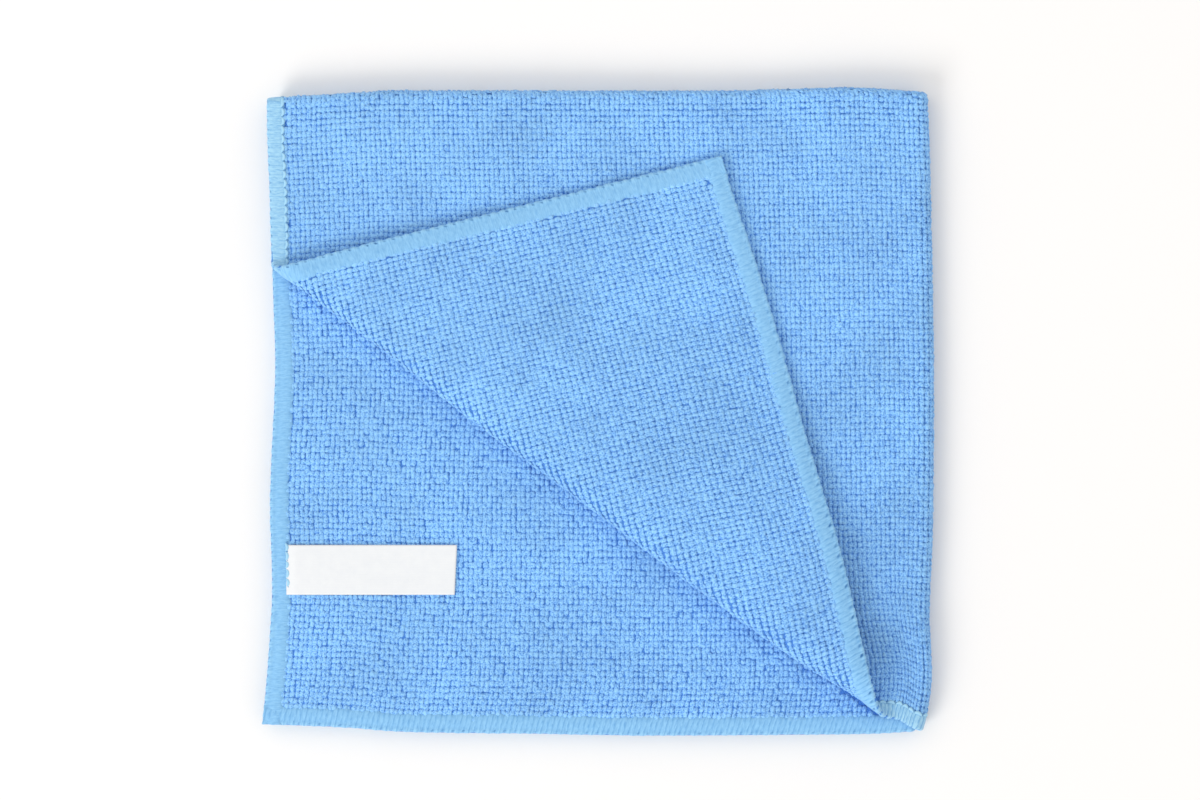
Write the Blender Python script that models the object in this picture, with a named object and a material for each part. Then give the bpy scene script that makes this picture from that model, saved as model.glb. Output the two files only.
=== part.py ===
"""A square microfibre cleaning cloth, folded in quarters, with one corner of its top layer turned back.

The flat cloth is cut into a mesh along its fold lines and then folded by a formula. Its flat coordinates
are a, along its width, and b, along its height, both counted from its middle. Folding it in half about
b = 0 and again about a = 0 gives four layers, counted here from the lowest:

    layer 1: a < 0, b < 0    layer 2: a < 0, b > 0    layer 3: a > 0, b > 0    layer 4: a > 0, b < 0

The first fold lies at the top of the bundle (+Y) and the second at its right (+X), so the open edges are
at the left and at the bottom. The corner of layer 4 is then rolled over a slanting crease, onto the layer
that it belongs to. All sizes are in millimetres, and the meshes are written in metres.
"""

import math

import bmesh
import bpy
from mathutils import Vector

MM = 0.001

# Flat cloth.
HALF_WIDTH = 200.0
HALF_HEIGHT = 194.0
THICKNESS = 1.7
LAYER_PITCH = 2.3
OVERLOCK_WIDTH = 5.5

# Axes that the two folds turn about, in plan.
TOP_FOLD_Y = 94.75
RIGHT_FOLD_X = 96.2
TOP_FOLD_RADIUS = LAYER_PITCH / 2
STACK_HEIGHT = 3 * LAYER_PITCH
LOWEST_MIDDLE_Z = THICKNESS / 2

# Where the left edges of the four layers lie: drop is the distance below the top fold, the rest are X.
LEFT_EDGES = (
    # drop, layer 1, layer 2, layer 3, layer 4
    (0.0, -97.6, -97.6, -99.6, -99.6),
    (12.0, -97.4, -97.2, -98.9, -99.5),
    (32.0, -97.6, -96.8, -98.2, -98.8),
    (57.0, -97.9, -96.9, -98.1, -98.5),
    (84.0, -97.5, -96.6, -97.3, -98.5),
    (123.0, -97.3, -96.9, -98.8, -98.7),
    (153.0, -97.6, -96.7, -98.2, -98.8),
    (165.0, -98.0, -96.9, -98.8, -98.8),
    (177.0, -98.6, -97.6, -99.6, -98.8),
    (194.0, -99.4, -98.4, -101.2, -99.0),
)

# Where the bottom edges of the four layers lie: run is the distance left of the right fold, the rest are Y.
BOTTOM_EDGES = (
    # run, layer 1, layer 2, layer 3, layer 4
    (0.0, -96.2, -96.4, -96.4, -96.2),
    (12.0, -96.4, -96.6, -97.1, -95.6),
    (30.0, -96.7, -96.8, -97.4, -96.6),
    (84.0, -96.4, -96.9, -97.7, -97.4),
    (120.0, -96.6, -96.6, -97.1, -97.4),
    (158.0, -96.1, -95.9, -96.5, -97.4),
    (173.0, -95.4, -95.2, -95.3, -97.4),
    (188.0, -94.6, -94.3, -94.7, -97.4),
    (200.0, -94.0, -93.6, -94.3, -97.4),
)

# How far the top fold bows out of line: run is the distance left of the right fold, the rest are in Y.
TOP_FOLD_BOW = (
    # run, lower pair of layers, upper pair of layers
    (0.0, -0.8, -0.8),
    (7.0, 0.0, -0.6),
    (22.0, 0.9, 0.1),
    (37.0, 0.6, -0.1),
    (60.0, 0.0, -0.6),
    (165.0, 0.0, -0.9),
    (173.0, -0.6, -1.2),
    (188.0, -1.5, -2.0),
    (200.0, -2.3, -2.6),
)

# How far the right fold bows out of line, in X: drop is the distance below the top fold.
RIGHT_FOLD_BOW = (
    # drop, bow
    (0.0, -1.4),
    (29.0, -0.4),
    (87.0, 0.6),
    (135.0, 0.2),
    (158.0, -0.7),
    (177.0, -0.1),
    (186.0, -1.0),
    (194.0, -2.7),
)

# The slanting crease that the corner is turned back over, in plan: a point on it and its angle to X.
CREASE_POINT = Vector((-31.1, -10.7))
CREASE_ANGLE = math.radians(-37.94)
CREASE_START = -84.5
CREASE_END = 142.6
ROLL_RADIUS_START = 2.3
ROLL_RADIUS_END = 3.9
FLAP_SETTLING_LENGTH = 70.0

# The turned corner is pulled out of square: where on the flat cloth, how far, and how far around it.
FLAP_PULLS = (
    # a, b, pull in X, pull in Y, reach
    (150.0, -194.0, 2.8, 0.5, 42.0),
    (100.0, -194.0, 1.9, 0.5, 62.0),
    (64.0, -194.0, 5.2, 0.4, 50.0),
    (20.0, -188.0, 2.9, 3.4, 24.0),
    (172.0, -78.0, 0.5, 1.6, 44.0),
    (112.0, -126.0, 0.7, 1.2, 34.0),
    (200.0, -160.0, 0.0, 0.8, 60.0),
)

# Low waves that the stack lies in: height, wavelength in X and in Y, and phase.
WAVES = (
    # height, wavelength in X, wavelength in Y, phase
    (0.34, 158.0, 196.0, 0.7),
    (0.20, -96.0, 121.0, 2.1),
)

# Mesh spacing: how far apart the cut lines of the flat parts lie, and where the folds are cut.
GRID_PITCH = 14.0
FOLD_CUTS_A = (0.0, 0.6, 1.2, 1.81, 2.7, 3.6, 4.5, 5.42)
FOLD_CUTS_B = (0.0, 0.6, 1.2, 1.81)
ROLL_CUTS = (-1.52, -1.0, -0.5, 0.05, 0.6, 1.2, 1.9, 2.8, 5.0, 8.0)
SLIVER = 0.35
SLOPE_STEP = 0.05

# Sewn-in label: a short tape that lies on layer 3, its left end at the overlocked edge.
LABEL_LEFT = -93.6
LABEL_RIGHT = -42.9
LABEL_TOP = -40.3
LABEL_BOTTOM = -55.3
LABEL_SKEW = 0.7
LABEL_THICKNESS = 1.0
LABEL_CLEARANCE = 0.32
LABEL_CUTS_X = 8
LABEL_CUTS_Y = 3

CLOTH_BLUE = (0.215, 0.486, 0.871, 1.0)
LABEL_WHITE = (0.905, 0.921, 0.930, 1.0)


def eased(t):
    """Run smoothly from 0 to 1 as t runs from 0 to 1."""
    t = min(1.0, max(0.0, t))
    return t * t * (3.0 - 2.0 * t)


def read_curve(rows, column, place):
    """Read one column of a table at a place, on a smooth curve through its rows."""
    places = [row[0] for row in rows]
    values = [row[column] for row in rows]
    last = len(rows) - 1
    place = min(places[last], max(places[0], place))
    k = 0
    while k < last - 1 and place > places[k + 1]:
        k += 1
    before, after = max(0, k - 1), min(last, k + 2)
    span = places[k + 1] - places[k]
    slope_in = (values[k + 1] - values[before]) / (places[k + 1] - places[before])
    slope_out = (values[after] - values[k]) / (places[after] - places[k])
    t = (place - places[k]) / span
    return (
        (2 * t ** 3 - 3 * t ** 2 + 1) * values[k]
        + (t ** 3 - 2 * t ** 2 + t) * span * slope_in
        + (3 * t ** 2 - 2 * t ** 3) * values[k + 1]
        + (t ** 3 - t ** 2) * span * slope_out
    )


def turn_top_fold(b):
    """Fold the height of the cloth in half: give Y, and the height in the pair of layers."""
    quarter_turn = TOP_FOLD_RADIUS * math.pi / 2
    if abs(b) > quarter_turn:
        return TOP_FOLD_Y + quarter_turn - abs(b), LAYER_PITCH if b > 0 else 0.0
    angle = b / TOP_FOLD_RADIUS
    return TOP_FOLD_Y + TOP_FOLD_RADIUS * math.cos(angle), TOP_FOLD_RADIUS * (1 + math.sin(angle))


def turn_right_fold(a, pair_height):
    """Fold the width of the pair in half: give X, and the height in the stack of four."""
    radius = STACK_HEIGHT / 2 - pair_height
    quarter_turn = radius * math.pi / 2
    if abs(a) > quarter_turn:
        return RIGHT_FOLD_X + quarter_turn - abs(a), STACK_HEIGHT - pair_height if a > 0 else pair_height
    angle = a / radius
    return RIGHT_FOLD_X + radius * math.cos(angle), STACK_HEIGHT / 2 + radius * math.sin(angle)


def layer_of(a, b):
    """Number the layer that a point of the flat cloth belongs to, from the lowest."""
    if a < 0:
        return 1 if b < 0 else 2
    return 3 if b > 0 else 4


def set_edges(a, b, x, y):
    """Stretch a folded point in plan, so that the edges and the folds lie where the tables put them."""
    run, drop = abs(a), abs(b)
    across, down = run / HALF_WIDTH, drop / HALF_HEIGHT
    layer = layer_of(a, b)
    pair_height = turn_top_fold(b)[1]
    square_left = turn_right_fold(math.copysign(HALF_WIDTH, a), pair_height)[0]
    square_bottom = turn_top_fold(HALF_HEIGHT)[0]
    left_shift = read_curve(LEFT_EDGES, layer, drop) - square_left
    bottom_shift = read_curve(BOTTOM_EDGES, layer, run) - square_bottom
    top_shift = read_curve(TOP_FOLD_BOW, 1 if a < 0 else 2, run)
    right_shift = read_curve(RIGHT_FOLD_BOW, 1, drop)
    return (
        x + (1 - across) * right_shift + across * left_shift,
        y + (1 - down) * top_shift + down * bottom_shift,
    )


def roll_profile(turn):
    """Follow the roll in section, for a radius of 1: give the reach towards the corner, and the height.

    turn is the length along the cloth, counted from the crease. The cloth rises round a quarter circle to
    the outermost line of the roll and goes on with a curvature that fades to nothing as it comes back.
    """
    begin = -1.5155
    if turn < begin:
        return turn, 0.0
    quarter_turn = math.pi / 2
    if turn < begin + quarter_turn:
        angle = turn - begin
        return begin + math.sin(angle), 1.0 - math.cos(angle)
    reach, height = begin + 1.0, 1.0
    steps = 24
    length = min(turn - begin - quarter_turn, math.pi)
    for k in range(steps):
        u = (k + 0.5) * length / steps
        angle = u - u * u / (2 * math.pi)
        reach -= math.sin(angle) * length / steps
        height += math.cos(angle) * length / steps
    return reach - max(0.0, turn - begin - quarter_turn - math.pi), height


ROLL_TOP = roll_profile(math.pi * 1.5)[1]


def turn_back_corner(a, x, y, z):
    """Roll a point of layer 4 over the slanting crease."""
    along = Vector((math.cos(CREASE_ANGLE), math.sin(CREASE_ANGLE)))
    outward = Vector((along.y, -along.x))
    offset = Vector((x, y)) - CREASE_POINT
    station, beyond = offset.dot(along), offset.dot(outward)
    share = (station - CREASE_START) / (CREASE_END - CREASE_START)
    radius = ROLL_RADIUS_START + share * (ROLL_RADIUS_END - ROLL_RADIUS_START)
    reach, height = roll_profile(beyond / radius)
    settled = eased((beyond - radius) / FLAP_SETTLING_LENGTH) * (ROLL_TOP * radius - LAYER_PITCH)
    plan = CREASE_POINT + along * station + outward * (reach * radius)
    free = eased((a - 4.0) / 5.0)
    return plan.x, plan.y, z + free * height * radius - settled


def pull_flap(a, b, x, y):
    """Pull the turned corner out of square, in plan."""
    free = eased(a / 16.0)
    for pull_a, pull_b, push_x, push_y, reach in FLAP_PULLS:
        near = free * math.exp(-((a - pull_a) ** 2 + (b - pull_b) ** 2) / reach ** 2)
        x += near * push_x
        y += near * push_y
    return x, y


def wave_height(x, y):
    """Give the height of the low waves at a place in plan."""
    total = 0.0
    for height, length_x, length_y, phase in WAVES:
        total += height * math.sin(2 * math.pi * (x / length_x + y / length_y) + phase)
    return total


def fold_point(a, b):
    """Place a point of the flat cloth in the folded bundle: the middle of the cloth's thickness."""
    y, pair_height = turn_top_fold(b)
    x, z = turn_right_fold(a, pair_height)
    x, y = set_edges(a, b, x, y)
    share = z / STACK_HEIGHT
    if layer_of(a, b) == 4:
        x, y, z = turn_back_corner(a, x, y, z)
        x, y = pull_flap(a, b, x, y)
    return Vector((x, y, z + LOWEST_MIDDLE_Z + share * wave_height(x, y)))


def cut_line(mesh, point, normal, faces):
    """Cut some faces of a flat mesh along a straight line."""
    edges = {edge for face in faces for edge in face.edges}
    verts = {vert for face in faces for vert in face.verts}
    bmesh.ops.bisect_plane(
        mesh,
        geom=list(faces) + list(edges) + list(verts),
        dist=1e-5,
        plane_co=point,
        plane_no=normal,
    )


def cut_places(half, fold_cuts):
    """List the places where the flat cloth is cut across: the fold, an even grid and the edge's band."""
    places = set(fold_cuts) | {half - OVERLOCK_WIDTH}
    rest = half - OVERLOCK_WIDTH - max(fold_cuts)
    count = round(rest / GRID_PITCH)
    places |= {max(fold_cuts) + k * rest / count for k in range(1, count)}
    return sorted(places | {-place for place in places})


def crease_cut(turn):
    """Give a point and a normal of the flat cut that runs at one turn of the roll, on layer 4."""
    along = Vector((math.cos(CREASE_ANGLE), math.sin(CREASE_ANGLE)))
    outward = Vector((along.y, -along.x))
    first = CREASE_POINT + along * CREASE_START + outward * (turn * ROLL_RADIUS_START)
    second = CREASE_POINT + along * CREASE_END + outward * (turn * ROLL_RADIUS_END)
    width_at_zero = RIGHT_FOLD_X + STACK_HEIGHT / 2 * math.pi / 2
    height_at_zero = TOP_FOLD_Y + TOP_FOLD_RADIUS * math.pi / 2
    ends = [Vector((width_at_zero - end.x, end.y - height_at_zero, 0.0)) for end in (first, second)]
    run = ends[1] - ends[0]
    return ends[0], Vector((run.y, -run.x, 0.0)).normalized()


def flat_cloth():
    """Make the flat cloth, cut along its folds, the roll, the edge's band and an even grid."""
    mesh = bmesh.new()
    corners = ((-1, -1), (1, -1), (1, 1), (-1, 1))
    mesh.faces.new([mesh.verts.new((i * HALF_WIDTH, j * HALF_HEIGHT, 0.0)) for i, j in corners])
    for place in cut_places(HALF_WIDTH, FOLD_CUTS_A):
        cut_line(mesh, Vector((place, 0.0, 0.0)), Vector((1.0, 0.0, 0.0)), set(mesh.faces))
    for place in cut_places(HALF_HEIGHT, FOLD_CUTS_B):
        cut_line(mesh, Vector((0.0, place, 0.0)), Vector((0.0, 1.0, 0.0)), set(mesh.faces))
    for turn in ROLL_CUTS:
        top_layer = set()
        for face in mesh.faces:
            middle = face.calc_center_median()
            if middle.x > 0 and middle.y < 0:
                top_layer.add(face)
        point, normal = crease_cut(turn)
        cut_line(mesh, point, normal, top_layer)
    bmesh.ops.remove_doubles(mesh, verts=list(mesh.verts), dist=SLIVER)
    bmesh.ops.triangulate(mesh, faces=list(mesh.faces))
    mesh.verts.index_update()
    return mesh


def plain_material(name, color, roughness):
    """Make a plain dielectric material."""
    material = bpy.data.materials.new(name)
    material.use_nodes = True
    surface = material.node_tree.nodes["Principled BSDF"]
    surface.inputs["Base Color"].default_value = color
    surface.inputs["Roughness"].default_value = roughness
    surface.inputs["Metallic"].default_value = 0.0
    return material


def side_of_cloth(a, b, side):
    """Place a point on one face of the folded cloth: side 1 is the face that layer 3 turns up."""
    along_a = fold_point(a + SLOPE_STEP, b) - fold_point(a - SLOPE_STEP, b)
    along_b = fold_point(a, b + SLOPE_STEP) - fold_point(a, b - SLOPE_STEP)
    return fold_point(a, b) + along_a.cross(along_b).normalized() * (side * THICKNESS / 2)


def side_of_label(u, v, side):
    """Place a point on one face of the label's tape: u runs from its sewn end, v from its lower edge."""
    x = LABEL_LEFT + u * (LABEL_RIGHT - LABEL_LEFT) + (v - 0.5) * LABEL_SKEW * u
    y = LABEL_BOTTOM + v * (LABEL_TOP - LABEL_BOTTOM)
    layer_middle = LOWEST_MIDDLE_Z + 2 * LAYER_PITCH + wave_height(x, y) * 2 / 3
    lower_face = layer_middle + THICKNESS / 2 + LABEL_CLEARANCE
    return Vector((x, y, lower_face + (1 + side) / 2 * LABEL_THICKNESS))


def sheet_object(name, flat, place, material):
    """Make a closed sheet from a flat mesh: both of its faces, as place gives them, and a rim."""
    sheet = bmesh.new()
    sides = {}
    for side in (-1, 1):
        sides[side] = [sheet.verts.new(place(vert.co.x, vert.co.y, side) * MM) for vert in flat.verts]
    for face in flat.faces:
        loop = [vert.index for vert in face.verts]
        sheet.faces.new([sides[1][k] for k in loop])
        sheet.faces.new([sides[-1][k] for k in reversed(loop)])
    for edge in flat.edges:
        if edge.is_boundary:
            loop = edge.link_loops[0]
            first, second = loop.vert.index, loop.link_loop_next.vert.index
            sheet.faces.new((sides[-1][first], sides[-1][second], sides[1][second], sides[1][first]))
    data = bpy.data.meshes.new(name)
    sheet.to_mesh(data)
    sheet.free()
    flat.free()
    data.materials.append(material)
    data.shade_smooth()
    data.set_sharp_from_angle(angle=math.radians(50))
    bpy.context.collection.objects.link(bpy.data.objects.new(name, data))


def make_cloth():
    """Fold the flat cloth and give it its thickness."""
    sheet_object("cloth", flat_cloth(), side_of_cloth, plain_material("microfibre", CLOTH_BLUE, 0.95))


def make_label():
    """Lay the label's tape on layer 3."""
    flat = bmesh.new()
    bmesh.ops.create_grid(flat, x_segments=LABEL_CUTS_X, y_segments=LABEL_CUTS_Y, size=0.5)
    bmesh.ops.translate(flat, verts=flat.verts, vec=Vector((0.5, 0.5, 0.0)))
    flat.verts.index_update()
    sheet_object("label", flat, side_of_label, plain_material("label_tape", LABEL_WHITE, 0.6))


def main():
    """Build the cloth and its label."""
    for item in list(bpy.data.objects):
        bpy.data.objects.remove(item, do_unlink=True)
    make_cloth()
    make_label()


main()
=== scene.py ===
"""A microfibre cleaning cloth, folded in quarters, with one corner of its top layer turned back: its looks.

The flat cloth has two coordinates, a along its width and b along its height, both in millimetres and both
counted from its middle. FoldedForm turns them into places in the folded bundle, the same way as the solid
was folded. Everything else lies on that form: the knitted ground, the tufts of looped pile on the faces
that show, and the overlock stitching along the four edges.

    layer 1: a < 0, b < 0    layer 2: a < 0, b > 0    layer 3: a > 0, b > 0    layer 4: a > 0, b < 0
"""

import logging
import math
from dataclasses import dataclass
from enum import Enum
from functools import cached_property

import bmesh
import bpy
import numpy as np
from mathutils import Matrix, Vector


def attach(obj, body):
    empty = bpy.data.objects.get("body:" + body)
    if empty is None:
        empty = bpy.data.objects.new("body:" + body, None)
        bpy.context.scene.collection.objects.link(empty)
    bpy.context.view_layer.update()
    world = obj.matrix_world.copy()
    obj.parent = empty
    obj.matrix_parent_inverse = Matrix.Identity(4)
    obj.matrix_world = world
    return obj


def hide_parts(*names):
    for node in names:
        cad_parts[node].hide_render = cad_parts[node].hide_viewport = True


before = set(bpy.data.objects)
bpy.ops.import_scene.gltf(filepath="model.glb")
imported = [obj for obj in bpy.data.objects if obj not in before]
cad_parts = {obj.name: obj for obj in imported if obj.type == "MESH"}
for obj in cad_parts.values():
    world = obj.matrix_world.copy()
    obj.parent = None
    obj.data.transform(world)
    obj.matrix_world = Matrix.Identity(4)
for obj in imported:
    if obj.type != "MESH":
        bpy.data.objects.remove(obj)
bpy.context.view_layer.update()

MM = 0.001
BODY = "root"
# What would reach below the floor is squashed into a layer this thick on it, in millimetres.
SQUASHED_LAYER = 0.1

log = logging.getLogger("microfibre_cloth")


class Side(Enum):
    """The two faces of the cloth: layer 3 turns its inner face up, and layer 4 its outer face."""

    OUTER = -1
    INNER = 1


class Edge(Enum):
    """The four overlocked edges of the flat cloth."""

    WEST = "west"
    EAST = "east"
    SOUTH = "south"
    NORTH = "north"


class PileArea(Enum):
    """The parts of the two faces whose pile shows."""

    TOP_LAYER = "top_layer"
    TURNED_CORNER = "turned_corner"
    THIRD_LAYER = "third_layer"
    UNDERSIDE_LEFT = "underside_left"
    UNDERSIDE_RIGHT = "underside_right"


def linear_rgb(code: str) -> tuple[float, float, float, float]:
    """Turn an sRGB hex value into a linear colour.

    Args:
        code: The colour as six hex digits after a number sign.

    Returns:
        Linear red, green and blue, and an alpha of 1.
    """
    parts = [int(code[k:k + 2], 16) / 255.0 for k in (1, 3, 5)]
    linear = [part / 12.92 if part <= 0.04045 else ((part + 0.055) / 1.055) ** 2.4 for part in parts]
    return linear[0], linear[1], linear[2], 1.0


def fill_sockets(tree: bpy.types.NodeTree, node: bpy.types.Node, inputs: dict) -> None:
    """Fill the sockets of a node.

    Args:
        tree: The node tree.
        node: The node.
        inputs: What goes into its sockets, by name or number: an output socket is linked, and any other
            value is set on the socket itself.
    """
    for key, value in inputs.items():
        if isinstance(value, bpy.types.NodeSocket):
            tree.links.new(value, node.inputs[key])
        else:
            node.inputs[key].default_value = value


def add_node(
    tree: bpy.types.NodeTree,
    kind: str,
    settings: dict | None = None,
    inputs: dict | None = None,
) -> bpy.types.Node:
    """Add one node to a tree.

    Args:
        tree: The node tree.
        kind: The node's type name.
        settings: Properties of the node, by name.
        inputs: What goes into its sockets, as fill_sockets takes it.

    Returns:
        The new node.
    """
    node = tree.nodes.new(kind)
    for key, value in (settings or {}).items():
        setattr(node, key, value)
    fill_sockets(tree, node, inputs or {})
    return node


def new_material(name: str) -> tuple[bpy.types.Material, bpy.types.NodeTree, bpy.types.Node]:
    """Make a material that holds only its surface shader.

    Args:
        name: The material's name.

    Returns:
        The material, its node tree and the shader.
    """
    material = bpy.data.materials.new(name)
    material.use_nodes = True
    return material, material.node_tree, material.node_tree.nodes["Principled BSDF"]


def eased(t: np.ndarray) -> np.ndarray:
    """Run smoothly from 0 to 1 as t runs from 0 to 1."""
    t = np.clip(t, 0.0, 1.0)
    return t * t * (3.0 - 2.0 * t)


def above_floor(heights: np.ndarray) -> np.ndarray:
    """Squash what would reach below the floor into a thin layer on it, and keep its order.

    Args:
        heights: The heights over the floor, some of them below it.

    Returns:
        Heights above the floor. Two that differ still differ, so pieces that cross don't share a plane.
    """
    share = np.minimum(heights / SQUASHED_LAYER - 1.0, 0.0)
    return np.where(share < 0.0, SQUASHED_LAYER * np.exp(share), heights)


def hump(places: np.ndarray, middle: float | np.ndarray, reach: float) -> np.ndarray:
    """Rise smoothly to 1 at the middle, and fall away to both sides over the reach."""
    return np.exp(-(((places - middle) / reach) ** 2))


def split_quads(*corners: np.ndarray) -> np.ndarray:
    """Split quads in two triangles each.

    Args:
        corners: The point numbers of the first, second, third and fourth corners, going round.

    Returns:
        Three point numbers for each triangle.
    """
    halves = ((0, 1, 2), (0, 2, 3))
    return np.concatenate([np.stack([corners[k].ravel() for k in half], axis=1) for half in halves])


def tapering_faces(first: int, rings: int, corners: int) -> list[tuple[int, int, int]]:
    """List the triangles of a row of rings, one after the other, that ends in a tip.

    Args:
        first: The number of the first ring's first point. The rings and the tip follow on it.
        rings: How many rings there are.
        corners: How many points each ring has.

    Returns:
        Three point numbers for each triangle.
    """
    faces = []
    for ring in range(rings - 1):
        low, high = first + ring * corners, first + (ring + 1) * corners
        for k in range(corners):
            after = (k + 1) % corners
            faces.append((low + k, low + after, high + after))
            faces.append((low + k, high + after, high + k))
    last = first + (rings - 1) * corners
    for k in range(corners):
        faces.append((last + k, last + (k + 1) % corners, last + corners))
    return faces


def read_curve(rows: tuple, column: np.ndarray | int, place: np.ndarray) -> np.ndarray:
    """Read a table at some places, on smooth curves through its rows.

    Args:
        rows: The table: a place, and then one value for each column.
        column: Which column to read, for all places or for each.
        place: Where to read it.

    Returns:
        The values there.
    """
    table = np.asarray(rows, dtype=float)
    places = table[:, 0]
    last = len(places) - 1
    place = np.clip(place, places[0], places[last])
    k = np.clip(np.searchsorted(places, place, side="left") - 1, 0, last - 1)
    before = np.maximum(k - 1, 0)
    after = np.minimum(k + 2, last)
    span = places[k + 1] - places[k]
    here, there = table[k, column], table[k + 1, column]
    slope_in = (there - table[before, column]) / (places[k + 1] - places[before])
    slope_out = (table[after, column] - here) / (places[after] - places[k])
    t = (place - places[k]) / span
    return (
        (2 * t ** 3 - 3 * t ** 2 + 1) * here
        + (t ** 3 - 2 * t ** 2 + t) * span * slope_in
        + (3 * t ** 2 - 2 * t ** 3) * there
        + (t ** 3 - t ** 2) * span * slope_out
    )


def mesh_object(
    name: str,
    points: np.ndarray,
    triangles: np.ndarray,
    material: bpy.types.Material,
    attributes: dict[str, np.ndarray] | None = None,
) -> bpy.types.Object:
    """Make a smooth mesh object from arrays.

    Args:
        name: The object's name.
        points: The points in millimetres, one row each.
        triangles: Three point numbers for each face.
        material: Its material.
        attributes: Vectors that the material reads, one for each point, by name.

    Returns:
        The new object, in the scene.
    """
    mesh = bpy.data.meshes.new(name)
    mesh.vertices.add(len(points))
    mesh.vertices.foreach_set("co", (points * MM).astype(np.float32).ravel())
    mesh.loops.add(triangles.size)
    mesh.loops.foreach_set("vertex_index", triangles.astype(np.int32).ravel())
    mesh.polygons.add(len(triangles))
    mesh.polygons.foreach_set("loop_start", np.arange(0, triangles.size, 3, dtype=np.int32))
    for key, values in (attributes or {}).items():
        layer = mesh.attributes.new(key, "FLOAT_VECTOR", "POINT")
        layer.data.foreach_set("vector", values.astype(np.float32).ravel())
    mesh.update(calc_edges=True)
    mesh.shade_smooth()
    mesh.materials.append(material)
    item = bpy.data.objects.new(name, mesh)
    bpy.context.collection.objects.link(item)
    return item


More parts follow.
